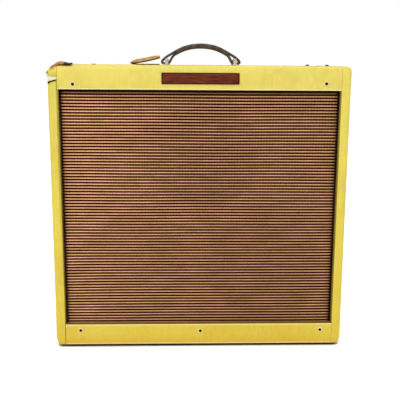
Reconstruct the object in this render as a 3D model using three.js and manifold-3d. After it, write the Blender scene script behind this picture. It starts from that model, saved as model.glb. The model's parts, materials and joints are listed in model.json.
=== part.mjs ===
// A combo guitar amplifier: a cloth-covered pine cabinet with a leaning front and an open back, three
// ten-inch loudspeakers on a plywood baffle, and a valve chassis hung under the rear of the top.
// Millimetres, +Z up, front towards -Y, +X to the right seen from the front.
// The origin is the middle of the cabinet's footprint, on the floor.
import * as THREE from "three";
import { mergeVertices } from "three/addons/utils/BufferGeometryUtils.js";
import Module from "manifold-3d";

const wasm = await Module();
wasm.setup();

// ---------------------------------------------------------------- driving dimensions
const WIDTH = 571.5; // over the covering
const BODY_HEIGHT = 546; // cabinet without its glides
const DEPTH_BOTTOM = 266.7;
const DEPTH_TOP = 228.6;
const GLIDE_HEIGHT = 4; // the cabinet stands this far off the floor
const BOARD = 18; // pine boards of the case
const PLY = 12; // plywood of the baffle, rails and back panels
const COVERING = 0.8; // thickness of the woven covering
const GAP = 0.3; // running gap between touching pieces
const CORNER = 9.5; // radius of the case's long edges

const HALF = WIDTH / 2;
const BACK = DEPTH_BOTTOM / 2;
const FRONT_FOOT = -DEPTH_BOTTOM / 2; // y of the front face at the cabinet's bottom
const BASE = GLIDE_HEIGHT;
const TOP = BASE + BODY_HEIGHT;
const LEAN = Math.atan2(DEPTH_BOTTOM - DEPTH_TOP, BODY_HEIGHT);

const SKIN = COVERING + GAP; // from the outside to the boards
const BOARD_OUT = HALF - SKIN; // outer face of a side board
const BOARD_IN = BOARD_OUT - BOARD; // inner face of a side board
const BOARD_TOP = TOP - SKIN;
const CEILING = BOARD_TOP - BOARD; // underside of the top board
const BOARD_BASE = BASE + SKIN;
const FLOOR = BOARD_BASE + BOARD; // upper side of the bottom board
const INSET = BOARD_IN - GAP; // half width of what sits between the sides

// Heights on the leaning front are measured up its slope from the cabinet's bottom edge.
const GRILLE_LOW = 43.3;
const GRILLE_HIGH = 503.2;
const CLOTH_FRONT = PLY + 0.7; // depth of the grille cloth behind the front face
const CLOTH = 1.2;
const BAFFLE_FRONT = CLOTH_FRONT + CLOTH + GAP;
const BAFFLE_BACK = BAFFLE_FRONT + PLY;
const BAFFLE_LOW = 22.5;
const BAFFLE_HIGH = 525;
const BAFFLE_HALF = BOARD_IN - 0.85;

const WELL_FRONT = 46; // rear edge of the top board, where the control well starts
const PANEL_TOP = 531.5; // upper face of the control panel
const SHEET = 1.6; // chassis sheet steel
const CHASSIS_LOW = 466;
const CHASSIS_HALF = 246;
const CHASSIS_FRONT = 48;
const CHASSIS_BACK = 119;
const CONTROL_Y = 83; // row of controls
const VALVE_Y = 84; // row of valves and transformers
const PANEL_BACK_INNER = BACK - PLY - 0.35; // inner face of the back panels

const SPEAKER_HOLE = 114; // radius of a baffle hole
const SPEAKERS = [
  { name: "upper", x: 0, up: 380 },
  { name: "lower_left", x: -131, up: 152 },
  { name: "lower_right", x: 131, up: 152 },
];
const FRONT_SCREWS = [
  { name: "upper_left", x: -237.8, up: 511.1 },
  { name: "upper_right", x: 237.1, up: 514.3 },
  { name: "lower_left", x: -235.9, up: 29.3 },
  { name: "lower_middle", x: 2.2, up: 27.4 },
  { name: "lower_right", x: 243.3, up: 28.3 },
];
const SCREW_HOLE = 2.4;
const SCREW_REACH = 22;

const KNOBS = { volume_1: -96, volume_2: -46, treble: 4, bass: 54, presence: 104 };
const JACKS = [-228, -200, -172, -144];
const SWITCHES = { standby: 146, power: 176 };
const FUSE_X = 204;
const PILOT_X = 230;
const SHAFT_HOLE = 3.7;
const BUSH_HOLE = 6.2;
const LAMP_HOLE = 7;
const SWITCH_PIVOT = PANEL_TOP + 2.5;
const SWITCH_THROW = THREE.MathUtils.degToRad(12); // lean of a switch lever either side of upright

const OCTAL = { socket: 17, x: { rectifier_tube: 140, power_tube_1: 88, power_tube_2: 36 } };
const NOVAL = { socket: 10.5, x: { preamp_tube_1: -122, preamp_tube_2: -162, preamp_tube_3: -202 } };
const GROMMET = { x: 62, y: 108, hole: 7 };

const HANDLE_Y = -22;
const HANDLE_WIDTH = 22;
const HANDLE_X = 2.3;
const HANDLE_PIN = { x: 66.8, z: TOP + 9.4, radius: 2 };
const PLATE = { half: 72.9, low: 512.7, high: 533.8, thick: 1 };

// ---------------------------------------------------------------- materials
const finish = (color, roughness, metalness = 0) =>
  new THREE.MeshStandardMaterial({ color, roughness, metalness });
const TWEED = finish(0xe6cf6c, 0.6);
const PINE = finish(0xd9b98a, 0.75);
const PLYWOOD = finish(0xb98f5c, 0.75);
const GRILLE_CLOTH = finish(0x7d573b, 0.85);
const BROWN_LEATHER = finish(0x4f4339, 0.55);
const TAN_LEATHER = finish(0xb98752, 0.65);
const CHROME = finish(0xc9ccd0, 0.15, 1);
const DARK_STEEL = finish(0x2b2722, 0.45, 0.9);
const PLATE_ENAMEL = finish(0x642f22, 0.4, 0.3);
const BLACK_PHENOLIC = finish(0x15120f, 0.35);
const VALVE_GLASS = finish(0xbfc6c4, 0.08);
const BLACK_ENAMEL = finish(0x17181a, 0.4, 0.3);
const FRAME_STEEL = finish(0x8d9296, 0.4, 0.8);
const CONE_PAPER = finish(0x2a2724, 0.95);
const FIBRE_BOARD = finish(0x3a2a20, 0.8);
const RUBY = finish(0xb3121a, 0.1);
const NICKEL = finish(0xb4b2ab, 0.3, 1);
const RUBBER = finish(0x1a1a1a, 0.9);

// ---------------------------------------------------------------- solids and placing
const WELD = 1e-3;
const ROUND = 12; // sides of a small round piece
const WIDE_ROUND = 20; // sides of a speaker

/** A closed geometry as a manifold solid, ready to join and cut. */
function solid(geometry) {
  const bare = geometry.clone();
  bare.deleteAttribute("normal");
  bare.deleteAttribute("uv");
  const merged = mergeVertices(bare, WELD);
  const vertProperties = merged.attributes.position.array;
  const triVerts = new Uint32Array(merged.index.array);
  return new wasm.Manifold(new wasm.Mesh({ numProp: 3, vertProperties, triVerts }));
}

/** A manifold solid as a three.js geometry. */
function geometryOf(body) {
  const made = body.getMesh();
  const geometry = new THREE.BufferGeometry();
  geometry.setAttribute("position", new THREE.BufferAttribute(made.vertProperties.slice(), 3));
  geometry.setIndex(new THREE.BufferAttribute(made.triVerts.slice(), 1));
  const flat = geometry.toNonIndexed();
  flat.computeVertexNormals();
  return flat;
}

/** A named mesh from a geometry or a manifold solid. */
function piece(name, shape, material) {
  const mesh = new THREE.Mesh(shape.isBufferGeometry ? shape : geometryOf(shape), material);
  mesh.name = name;
  return mesh;
}

/** A box between two corners. */
function block(x0, x1, y0, y1, z0, z1) {
  const box = new THREE.BoxGeometry(x1 - x0, y1 - y0, z1 - z0);
  return box.translate((x0 + x1) / 2, (y0 + y1) / 2, (z0 + z1) / 2);
}

/** A closed [radius, height] profile turned about +Z; heights must run upwards on the outside. */
function turned(profile, segments = ROUND) {
  const points = profile.map(([radius, height]) => new THREE.Vector2(radius, height));
  if (THREE.ShapeUtils.area(points) < 0) points.reverse();
  return new THREE.LatheGeometry(points, segments).rotateX(Math.PI / 2);
}

/** A plain round bar along +Z. */
function bar(radius, z0, z1, segments = ROUND) {
  return turned([[0, z0], [radius, z0], [radius, z1], [0, z1]], segments);
}

/** A round bar along the depth of the leaning front. */
function frontBar(radius, x, up, deep0, deep1, segments = ROUND) {
  return bar(radius, deep0, deep1, segments).rotateX(-Math.PI / 2).translate(x, 0, up);
}

/** An XZ outline pushed along Y. */
function alongY(shape, y0, y1, curveSegments = 6) {
  const made = new THREE.ExtrudeGeometry(shape, { depth: y1 - y0, bevelEnabled: false, curveSegments });
  const turn = new THREE.Matrix4().makeBasis(
    new THREE.Vector3(1, 0, 0),
    new THREE.Vector3(0, 0, 1),
    new THREE.Vector3(0, -1, 0),
  );
  return made.applyMatrix4(turn).translate(0, y1, 0);
}

/** A YZ outline pushed along X, to the same distance either side of the middle. */
function alongX(shape, half, curveSegments = 6) {
  const made = new THREE.ExtrudeGeometry(shape, { depth: 2 * half, bevelEnabled: false, curveSegments });
  const turn = new THREE.Matrix4().makeBasis(
    new THREE.Vector3(0, 1, 0),
    new THREE.Vector3(0, 0, 1),
    new THREE.Vector3(1, 0, 0),
  );
  return made.applyMatrix4(turn).translate(-half, 0, 0);
}

/** The leaning front's own frame: x across, y the depth behind the face, z up the slope. */
function leaningFrame() {
  const group = new THREE.Group();
  group.position.set(0, FRONT_FOOT, BASE);
  group.rotation.x = -LEAN;
  group.updateMatrix();
  return group;
}
const FRONT = leaningFrame();
const toCabinet = (geometry) => geometry.applyMatrix4(FRONT.matrix);

/** Everything in front of the plane that lies this deep behind the front face. */
function inFrontOf(deep) {
  return solid(toCabinet(block(-HALF - 50, HALF + 50, -200, deep, -60, BODY_HEIGHT + 120)));
}

/** [y, z] in the cabinet of a point on the front's section. */
function frontPoint(deep, up) {
  const point = new THREE.Vector3(0, deep, up).applyMatrix4(FRONT.matrix);
  return [point.y, point.z];
}

/** Height up the front's slope, at this depth, where it meets a level plane. */
const upAt = (deep, z) => (z - BASE + deep * Math.sin(LEAN)) / Math.cos(LEAN);

// ---------------------------------------------------------------- the case
/** The case's outline seen from the front, drawn in by an inset. */
function caseOutline(inset) {
  const [x, low, high] = [HALF - inset, BASE + inset, TOP - inset];
  const radius = CORNER - inset;
  const shape = new THREE.Shape();
  shape.moveTo(-x + radius, low);
  shape.lineTo(x - radius, low);
  shape.absarc(x - radius, low + radius, radius, -Math.PI / 2, 0, false);
  shape.lineTo(x, high - radius);
  shape.absarc(x - radius, high - radius, radius, 0, Math.PI / 2, false);
  shape.lineTo(-x + radius, high);
  shape.absarc(-x + radius, high - radius, radius, Math.PI / 2, Math.PI, false);
  shape.lineTo(-x, low + radius);
  shape.absarc(-x + radius, low + radius, radius, Math.PI, 1.5 * Math.PI, false);
  return shape;
}

/** The case's outline as a solid from the leaning front, or a plane behind it, to the back. */
function casePrism(inset, deep) {
  return solid(alongY(caseOutline(inset), FRONT_FOOT - 5, BACK, 3)).subtract(inFrontOf(deep));
}

/** Spans [from, to] of a box joint's fingers along Y; even ones belong to the level board. */
function fingers(from, to, count) {
  const pitch = (to - from) / count;
  return Array.from({ length: count }, (_, i) => [from + i * pitch, from + (i + 1) * pitch]);
}
const TOP_FINGERS = fingers(frontPoint(PLY + GAP, upAt(PLY, BOARD_TOP))[0], WELL_FRONT, 7);
const BOTTOM_FINGERS = fingers(frontPoint(PLY + GAP, upAt(PLY, BOARD_BASE))[0], BACK, 13);

const TOP_BAND = [CEILING - GAP, TOP + 5]; // heights that the top corner's joint takes up
const BOTTOM_BAND = [BASE - 5, FLOOR + GAP];

/** Cuts every other finger of a corner joint out of a board, over the heights of one band. */
function notched(board, spans, parity, x0, x1, [z0, z1]) {
  const firstLead = 1.9; // the first finger follows the leaning front
  spans.forEach(([from, to], i) => {
    if (i % 2 !== parity) return;
    const lead = i === 0 ? firstLead : GAP / 2;
    board = board.subtract(solid(block(x0, x1, from - lead, to + GAP / 2, z0, z1)));
  });
  return board;
}

function sideBoard(side) {
  const [x0, x1] = side < 0 ? [-BOARD_OUT - 5, -BOARD_IN] : [BOARD_IN, BOARD_OUT + 5];
  const board = casePrism(SKIN, 0).intersect(solid(block(x0, x1, -200, 200, 0, TOP + 5)));
  const topped = notched(board, TOP_FINGERS, 0, x0 - 5, x1 + 5, TOP_BAND);
  return notched(topped, BOTTOM_FINGERS, 0, x0 - 5, x1 + 5, BOTTOM_BAND);
}

/** A level board whose ends are cut to the sides' fingers. */
function levelBoard(spans, y1, z0, z1) {
  const board = casePrism(SKIN, PLY + GAP).intersect(solid(block(-HALF, HALF, -200, y1, z0, z1)));
  const leftCut = notched(board, spans, 1, -HALF, -INSET, [z0 - 5, z1 + 5]);
  return notched(leftCut, spans, 1, INSET, HALF, [z0 - 5, z1 + 5]);
}

/** The woven covering, a sleeve over the four boards, open over the control well. */
function tweedCover() {
  const well = solid(block(-BOARD_IN, BOARD_IN, WELL_FRONT, BACK + 5, TOP - 10, TOP + 5));
  const inner = solid(alongY(caseOutline(COVERING), FRONT_FOOT - 9, BACK + 5, 3));
  return casePrism(0, 0).subtract(inner).subtract(well);
}

/** Screw holes through whatever stands at the front. */
function drilled(body, place) {
  return FRONT_SCREWS.reduce((left, { x, up }) => {
    const hole = frontBar(SCREW_HOLE, x, up, -10, SCREW_REACH + 2, 8);
    return left.subtract(solid(place(hole)));
  }, body);
}

/** A rail across the front between the sides, its outer edge rounded as the case's is. */
function frontRail(lowUp, highUp, edgeZ, radius) {
  const outerAtTop = edgeZ > BASE + BODY_HEIGHT / 2;
  const innerUp = outerAtTop ? lowUp : highUp;
  const shape = new THREE.Shape();
  const edge = frontPoint(0, upAt(0, edgeZ));
  const toward = outerAtTop ? -radius : radius;
  shape.moveTo(...frontPoint(0, innerUp));
  shape.lineTo(...frontPoint(PLY, innerUp));
  shape.lineTo(...frontPoint(PLY, upAt(PLY, edgeZ)));
  shape.lineTo(edge[0] + radius, edgeZ);
  shape.quadraticCurveTo(...edge, ...frontPoint(0, upAt(0, edgeZ) + toward));
  return drilled(solid(alongX(shape, INSET, 4)), toCabinet);
}

function backPanel(z0, z1) {
  const round = 5;
  const shape = new THREE.Shape();
  shape.moveTo(PANEL_BACK_INNER, z0);
  shape.lineTo(BACK - 0.2, z0);
  shape.lineTo(BACK - 0.2, z1 - round);
  shape.quadraticCurveTo(BACK - 0.2, z1, BACK - round, z1);
  shape.lineTo(PANEL_BACK_INNER, z1);
  return alongX(shape, INSET, 3);
}

function caseNodes() {
  const group = new THREE.Group();
  const cleat = { wide: 17.7, y0: 100, z1: PANEL_TOP - SHEET - GAP };
  group.add(
    piece("left_side", sideBoard(-1), PINE),
    piece("right_side", sideBoard(1), PINE),
    piece("top_board", levelBoard(TOP_FINGERS, WELL_FRONT, CEILING, TOP), PINE),
    piece("bottom_board", levelBoard(BOTTOM_FINGERS, BACK, BASE, FLOOR), PINE),
    piece("tweed_cover", tweedCover(), TWEED),
    piece("front_valance", frontRail(GRILLE_HIGH, 0, BOARD_TOP, CORNER - SKIN), TWEED),
    piece("lower_rail", frontRail(0, GRILLE_LOW, BOARD_BASE, CORNER - SKIN), TWEED),
    piece("upper_back_panel", backPanel(452, TOP - 2), TWEED),
    piece("lower_back_panel", backPanel(FLOOR + GAP, 190), TWEED),
  );
  for (const [name, side] of [["left", -1], ["right", 1]]) {
    const [x0, x1] = [side * (INSET - cleat.wide), side * INSET].sort((a, b) => a - b);
    const strip = block(x0, x1, cleat.y0, PANEL_BACK_INNER - GAP, FLOOR + GAP, cleat.z1);
    group.add(piece(`back_cleat_${name}`, strip, PINE));
  }
  return group;
}

function glides() {
  const group = new THREE.Group();
  for (const [row, y] of [["front", -105], ["rear", 105]])
    for (const [side, x] of [["left", -250], ["right", 250]]) {
      const glide = turned([[0, 0], [8, 0], [11, 1.6], [11, BASE - GAP], [0, BASE - GAP]]);
      const mesh = piece(`glide_${row}_${side}`, glide, NICKEL);
      mesh.position.set(x, y, 0);
      group.add(mesh);
    }
  return group;
}

// ---------------------------------------------------------------- the leaning front
function baffleBoard() {
  const board = solid(block(-BAFFLE_HALF, BAFFLE_HALF, BAFFLE_FRONT, BAFFLE_BACK, BAFFLE_LOW, BAFFLE_HIGH));
  const holed = SPEAKERS.reduce((left, { x, up }) => {
    return left.subtract(solid(frontBar(SPEAKER_HOLE, x, up, 0, BAFFLE_BACK + 5, WIDE_ROUND)));
  }, board);
  return drilled(holed, (hole) => hole);
}

function grilleCloth() {
  const half = BAFFLE_HALF - 0.3;
  const sheet = block(-half, half, CLOTH_FRONT, CLOTH_FRONT + CLOTH, BAFFLE_LOW + 0.5, BAFFLE_HIGH - 0.5);
  return drilled(solid(sheet), (hole) => hole);
}

/** The name plate: a thin panel with a raised rim. */
function namePlate() {
  const { half, low, high, thick } = PLATE;
  const rim = 1.6;
  const plate = solid(block(-half, half, -thick - GAP, -GAP, low, high));
  const field = block(-half + rim, half - rim, -thick - 2, -GAP - thick / 2, low + rim, high - rim);
  return plate.subtract(solid(field));
}

/** A wood screw through the covering: a domed head and a plain shank. */
function frontScrew() {
  const shank = SCREW_HOLE - 0.5;
  const head = [[0, -2.6], [1.9, -2.2], [3.4, -1], [3.6, -GAP], [shank, -GAP]];
  return turned([...head, [shank, SCREW_REACH - 3], [0, SCREW_REACH]]).rotateX(-Math.PI / 2);
}

/** A pressed speaker frame with its magnet pot: profile of [radius, depth], then four windows. */
function speakerFrame() {
  const seat = BAFFLE_BACK + GAP;
  const profile = [
    [0, 80], [16.5, 80], [16.5, 98], [21, 98], [21, 80], [57, 80], [115.5, 38], [116.5, seat],
    [128.5, seat], [128.5, seat + 2.5], [119, seat + 2.5], [118, 39], [60, 84], [46, 84],
    [46, 122], [0, 122],
  ];
  let frame = solid(turned(profile, WIDE_ROUND));
  const windows = 4;
  const span = THREE.MathUtils.degToRad(58);
  for (let i = 0; i < windows; i++) {
    const middle = ((i + 0.5) * 2 * Math.PI) / windows;
    const shape = new THREE.Shape();
    shape.absarc(0, 0, 104, middle - span / 2, middle + span / 2, false);
    shape.absarc(0, 0, 68, middle + span / 2, middle - span / 2, true);
    const cutter = new THREE.ExtrudeGeometry(shape, { depth: 50, bevelEnabled: false, curveSegments: 3 });
    frame = frame.subtract(solid(cutter.translate(0, 0, 34)));
  }
  return geometryOf(frame).rotateX(-Math.PI / 2);
}

/** A paper cone with its dust cap and voice-coil former, as a thin turned shell. */
function speakerCone() {
  const profile = [
    [0, 52], [12, 53.2], [22, 57], [28, 62.3], [104, 31], [109, 29.2], [113, 29.8], [113, 31],
    [104.6, 32.6], [19.5, 68.5], [19.5, 88], [18, 88], [18, 66.5], [20.5, 58.8], [11.5, 54.9], [0, 53.5],
  ];
  return turned(profile, WIDE_ROUND).rotateX(-Math.PI / 2);
}

function frontNodes() {
  const group = leaningFrame();
  group.add(
    piece("baffle_board", baffleBoard(), PLYWOOD),
    piece("grille_cloth", grilleCloth(), GRILLE_CLOTH),
    piece("name_plate", namePlate(), PLATE_ENAMEL),
  );
  for (const { name, x, up } of FRONT_SCREWS) {
    const screw = piece(`front_screw_${name}`, frontScrew(), DARK_STEEL);
    screw.position.set(x, 0, up);
    group.add(screw);
  }
  for (const { name, x, up } of SPEAKERS) {
    const frame = piece(`speaker_frame_${name}`, speakerFrame(), FRAME_STEEL);
    const cone = piece(`speaker_cone_${name}`, speakerCone(), CONE_PAPER);
    frame.position.set(x, 0, up);
    cone.position.set(x, 0, up);
    group.add(frame, cone);
  }
  return group;
}

// ---------------------------------------------------------------- the handle
/** A strip of even or tapering thickness along an XZ curve, as wide in Y as told. */
function strip(points, thickness, y0, y1, steps) {
  const curve = new THREE.SplineCurve(points.map(([x, z]) => new THREE.Vector2(x, z)));
  const [over, under] = [[], []];
  for (let i = 0; i <= steps; i++) {
    const t = i / steps;
    const at = curve.getPoint(t);
    const along = curve.getTangent(t);
    const half = (typeof thickness === "function" ? thickness(t) : thickness) / 2;
    over.push(new THREE.Vector2(at.x - along.y * half, at.y + along.x * half));
    under.push(new THREE.Vector2(at.x + along.y * half, at.y - along.x * half));
  }
  return alongY(new THREE.Shape([...under, ...over.reverse()]), y0, y1);
}

/** The leather grip: a stuffed arch whose ends split into loops round the bracket pins. */
function handleGrip() {
  const [y0, y1] = [HANDLE_Y - HANDLE_WIDTH / 2, HANDLE_Y + HANDLE_WIDTH / 2];
  const arch = [
    [-55, 20.2], [-45, 25.7], [-32.5, 31.3], [-18, 35], [0, 36.4],
    [18, 35], [32.5, 31.3], [45, 25.7], [55, 20.2],
  ];
  const loop = [
    [50, 25.5], [58.9, 20.7], [64.9, 17], [70.6, 12.9], [75.4, 8.2], [76.2, 5], [73, 3],
    [68, 2.8], [63.5, 3.6], [60.5, 7], [58, 11.5], [55.2, 16], [50.5, 22],
  ];
  const raised = (points) => points.map(([x, z]) => [x, z + TOP]);
  const body = strip(raised(arch), (t) => 8 + Math.sin(Math.PI * t), y0, y1, 14);
  const right = strip(raised(loop), 4, y0, y1, 18);
  const left = geometryOf(solid(right).mirror([1, 0, 0]));
  return solid(body).add(solid(right)).add(solid(left)).translate(HANDLE_X, 0, 0);
}

/** Two angle tabs whose feet lie on the top, joined by the pin that the handle's loop hangs on. */
function handleBracket() {
  const { z, radius } = HANDLE_PIN;
  const tab = { inside: HANDLE_WIDTH / 2 + 1.6, thick: 1.6, radius: 3.4, foot: 9 };
  const footTop = TOP + GAP + 1.4;
  const outline = new THREE.Shape();
  outline.moveTo(-tab.radius, footTop - 1);
  outline.lineTo(tab.radius, footTop - 1);
  outline.lineTo(tab.radius, z);
  outline.absarc(0, z, tab.radius, 0, Math.PI, false);
  const reach = tab.inside + tab.thick;
  const rivet = 0.9;
  const pin = bar(radius, -reach - rivet, reach + rivet).rotateX(-Math.PI / 2).translate(0, 0, z);
  const tabs = alongY(outline, tab.inside, reach, 4);
  const foot = block(-6, 6, tab.inside, reach + tab.foot, TOP + GAP, footTop);
  const rear = solid(tabs).add(solid(foot));
  return rear.add(rear.mirror([0, 1, 0])).add(solid(pin));
}

/** A leather tag folded back on itself on the top, its upper limb rolled to show its face. */
function leatherTag() {
  const fold = [
    [-90, 1.6], [-110, 1.6], [-124, 1.7], [-131, 2.2], [-134.6, 3.6],
    [-131, 5], [-121, 5.9], [-105, 8.6], [-90, 12], [-77.5, 14.6],
  ];
  const [near, far] = [HANDLE_Y - 15, HANDLE_Y + 3];
  const tag = strip(fold.map(([x, z]) => [x, z + TOP]), 2.2, near, far, 16);
  const roll = 0.2;
  const corner = tag.getAttribute("position");
  for (let i = 0; i < corner.count; i += 1) {
    const raised = THREE.MathUtils.clamp((corner.getZ(i) - TOP - 3.8) / 3, 0, 1);
    corner.setZ(i, corner.getZ(i) + roll * raised * (corner.getY(i) - near));
  }
  return tag;
}

function handleNodes() {
  const group = new THREE.Group();
  group.add(piece("handle_grip", handleGrip(), BROWN_LEATHER));
  for (const [name, side] of [["left", -1], ["right", 1]]) {
    const bracket = piece(`handle_bracket_${name}`, handleBracket(), DARK_STEEL);
    bracket.position.set(HANDLE_X + side * HANDLE_PIN.x, HANDLE_Y, 0);
    group.add(bracket);
  }
  group.add(piece("leather_tag", leatherTag(), TAN_LEATHER));
  return group;
}

// ---------------------------------------------------------------- the chassis and what it carries
function holes(body, list, z0, z1) {
  return list.reduce((left, [x, y, radius]) => {
    return left.subtract(solid(bar(radius, z0, z1).translate(x, y, 0)));
  }, body);
}

/** Folded sheet steel, open to the rear: control panel on top, valve shelf below. */
function chassis() {
  const under = PANEL_TOP - SHEET;
  const parts = [
    block(-INSET, INSET, WELL_FRONT + 0.4, CHASSIS_BACK + 1, under, PANEL_TOP),
    block(-CHASSIS_HALF, CHASSIS_HALF, CHASSIS_FRONT, CHASSIS_FRONT + SHEET, CHASSIS_LOW, PANEL_TOP - 0.5),
    block(-CHASSIS_HALF, CHASSIS_HALF, CHASSIS_FRONT, CHASSIS_BACK, CHASSIS_LOW, CHASSIS_LOW + SHEET),
    block(-CHASSIS_HALF, SHEET - CHASSIS_HALF, CHASSIS_FRONT, CHASSIS_BACK, CHASSIS_LOW, PANEL_TOP - 0.5),
    block(CHASSIS_HALF - SHEET, CHASSIS_HALF, CHASSIS_FRONT, CHASSIS_BACK, CHASSIS_LOW, PANEL_TOP - 0.5),
  ].map(solid);
  const body = parts.slice(1).reduce((joined, next) => joined.add(next), parts[0]);
  const row = (places, radius) => places.map((x) => [x, CONTROL_Y, radius]);
  const onPanel = [
    ...row(Object.values(KNOBS), SHAFT_HOLE),
    ...row(JACKS, BUSH_HOLE - 1),
    ...row(Object.values(SWITCHES), BUSH_HOLE),
    ...row([FUSE_X, PILOT_X], LAMP_HOLE),
  ];
  const onShelf = [
    ...Object.values(OCTAL.x).map((x) => [x, VALVE_Y, OCTAL.socket - 4]),
    ...Object.values(NOVAL.x).map((x) => [x, VALVE_Y, NOVAL.socket - 2]),
    [GROMMET.x, GROMMET.y, GROMMET.hole],
  ];
  const drilledTop = holes(body, onPanel, under - 5, PANEL_TOP + 5);
  return holes(drilledTop, onShelf, CHASSIS_LOW - 5, CHASSIS_LOW + SHEET + 5);
}

/** A pointer knob on its shaft: a round skirt, a waisted body and a beak. */
function knob() {
  const foot = PANEL_TOP + 1;
  const body = [[10, foot], [9.2, foot + 3], [6.8, foot + 15], [5.6, foot + 16]];
  const skirt = solid(turned([[0, foot], ...body, [0, foot + 16]]));
  const pointer = [[-3.4, 0], [-3.4, -8], [0, -16], [3.4, -8], [3.4, 0], [2.4, 10], [-2.4, 10]];
  const outline = new THREE.Shape(pointer.map(([x, y]) => new THREE.Vector2(x, y)));
  const beak = new THREE.ExtrudeGeometry(outline, { depth: 13, bevelEnabled: false });
  const shaft = solid(bar(SHAFT_HOLE - 0.6, PANEL_TOP - 14, foot + 2));
  return skirt.add(solid(beak.translate(0, 0, foot + 2.4))).add(shaft);
}

/** A phone-plug socket: barrel, shoulder under the panel and nut above it. */
function jack() {
  const [under, over] = [PANEL_TOP - SHEET - GAP, PANEL_TOP + GAP];
  const bore = 3.35;
  return turned([
    [bore, under - 14], [4.7, under - 14], [4.7, under - 5], [8, under - 5], [8, under], [4.7, under],
    [4.7, over], [7.6, over], [7.6, over + 2.4], [4.7, over + 2.4], [4.7, over + 3.6], [bore, over + 3.6],
    [bore, under - 14],
  ]);
}

/** A toggle switch's fixed part: a box under the panel and a hollow bush through it. */
function switchBody() {
  const [under, over] = [PANEL_TOP - SHEET - GAP, PANEL_TOP + GAP];
  const bush = solid(turned([
    [0, under - 3], [5.7, under - 3], [5.7, over], [8.2, over], [8.2, over + 1.8], [5.7, over + 1.8],
    [5.7, over + 6], [4, over + 6], [3.2, over - 1], [0, over - 1],
  ]));
  return bush.add(solid(block(-6.5, 6.5, -13, 13, under - 24, under - 0.2)));
}

/** A bat-shaped switch lever, upright, with its pivot at the origin. */
function switchLever() {
  return turned([[0, -1.8], [1.3, -1.4], [1.3, 2], [1.7, 5], [2.5, 12], [2.2, 14.2], [0, 15]]);
}

function fuseCap() {
  const over = PANEL_TOP + GAP;
  return turned([
    [0, over - 34], [5.6, over - 34], [6.1, over - 28], [6.1, over], [8, over],
    [7.6, over + 9], [6.6, over + 10.5], [0, over + 10.5],
  ]);
}

function pilotLamp() {
  const over = PANEL_TOP + GAP;
  return turned([
    [0, over - 26], [6.2, over - 26], [6.2, over], [9, over], [8.6, over + 3],
    [7, over + 3.4], [6, over + 8], [3.4, over + 10.4], [0, over + 11.2],
  ]);
}

/** A valve hanging from the shelf: a phenolic base and a glass bulb, [radius, drop below the shelf]. */
function valve(outline) {
  return turned(outline.map(([radius, drop]) => [radius, CHASSIS_LOW - GAP - drop]));
}
const OCTAL_BASE = [[0, 0], [16.5, 0], [16.5, 20]];
const POWER_VALVE = [...OCTAL_BASE, [19, 26], [22.5, 44], [22, 78], [16.5, 96], [10, 102], [0, 104]];
const RECTIFIER = [...OCTAL_BASE, [17, 24], [25, 52], [24, 74], [17, 86], [15.5, 102], [0, 108]];
const PREAMP_VALVE = [[0, 0], [11.4, 0], [11.4, 14], [11, 48], [8, 53], [2, 57], [0, 57]];

/** A transformer hanging from the shelf: a laminated core between two bell covers. */
function transformer(wide, deep, tall) {
  const top = CHASSIS_LOW - GAP;
  const [coreTop, coreBase] = [top - tall * 0.36, top - tall * 0.64];
  const slab = (trim, z0, z1) => {
    return solid(block(-wide / 2 + trim, wide / 2 - trim, -deep / 2 + trim, deep / 2 - trim, z0, z1));
  };
  return slab(0, coreBase, coreTop).add(slab(5, coreTop - 1, top)).add(slab(5, top - tall, coreBase + 1));
}

function grommet() {
  const { hole } = GROMMET;
  const [low, high] = [CHASSIS_LOW - GAP, CHASSIS_LOW + SHEET + GAP];
  return turned([
    [4, low - 1.8], [hole + 2, low - 1.8], [hole + 2, low], [hole - GAP, low], [hole - GAP, high],
    [hole + 2, high], [hole + 2, high + 1.8], [4, high + 1.8], [4, low - 1.8],
  ]);
}

function chassisNodes() {
  const group = new THREE.Group();
  const place = (name, shape, material, x, y, z = 0) => {
    const mesh = piece(name, shape, material);
    mesh.position.set(x, y, z);
    group.add(mesh);
    return mesh;
  };
  place("chassis", chassis(), CHROME, 0, 0);
  const board = block(-210, 175, 0, 3, 0, 46);
  place("circuit_board", board, FIBRE_BOARD, 0, CHASSIS_FRONT + SHEET + 3, CHASSIS_LOW + 9);
  for (const [name, x] of Object.entries(KNOBS)) place(`${name}_knob`, knob(), BLACK_PHENOLIC, x, CONTROL_Y);
  JACKS.forEach((x, i) => place(`input_jack_${i + 1}`, jack(), NICKEL, x, CONTROL_Y));
  for (const [name, x] of Object.entries(SWITCHES)) {
    place(`${name}_switch_body`, switchBody(), NICKEL, x, CONTROL_Y);
    const lever = place(`${name}_switch_lever`, switchLever(), NICKEL, x, CONTROL_Y, SWITCH_PIVOT);
    lever.rotation.x = SWITCH_THROW;
  }
  place("fuse_cap", fuseCap(), BLACK_PHENOLIC, FUSE_X, CONTROL_Y);
  place("pilot_lamp", pilotLamp(), RUBY, PILOT_X, CONTROL_Y);
  for (const [name, x] of Object.entries(OCTAL.x)) {
    place(name, valve(name === "rectifier_tube" ? RECTIFIER : POWER_VALVE), VALVE_GLASS, x, VALVE_Y);
  }
  for (const [name, x] of Object.entries(NOVAL.x)) place(name, valve(PREAMP_VALVE), VALVE_GLASS, x, VALVE_Y);
  place("power_transformer", transformer(74, 64, 88), BLACK_ENAMEL, 205, VALVE_Y);
  place("output_transformer", transformer(52, 50, 62), BLACK_ENAMEL, -18, VALVE_Y);
  place("filter_choke", transformer(38, 40, 46), BLACK_ENAMEL, -78, VALVE_Y);
  place("mains_grommet", grommet(), RUBBER, GROMMET.x, GROMMET.y);
  return group;
}

const amplifier = new THREE.Group();
amplifier.add(caseNodes(), glides(), frontNodes(), handleNodes(), chassisNodes());

export default amplifier;
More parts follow.
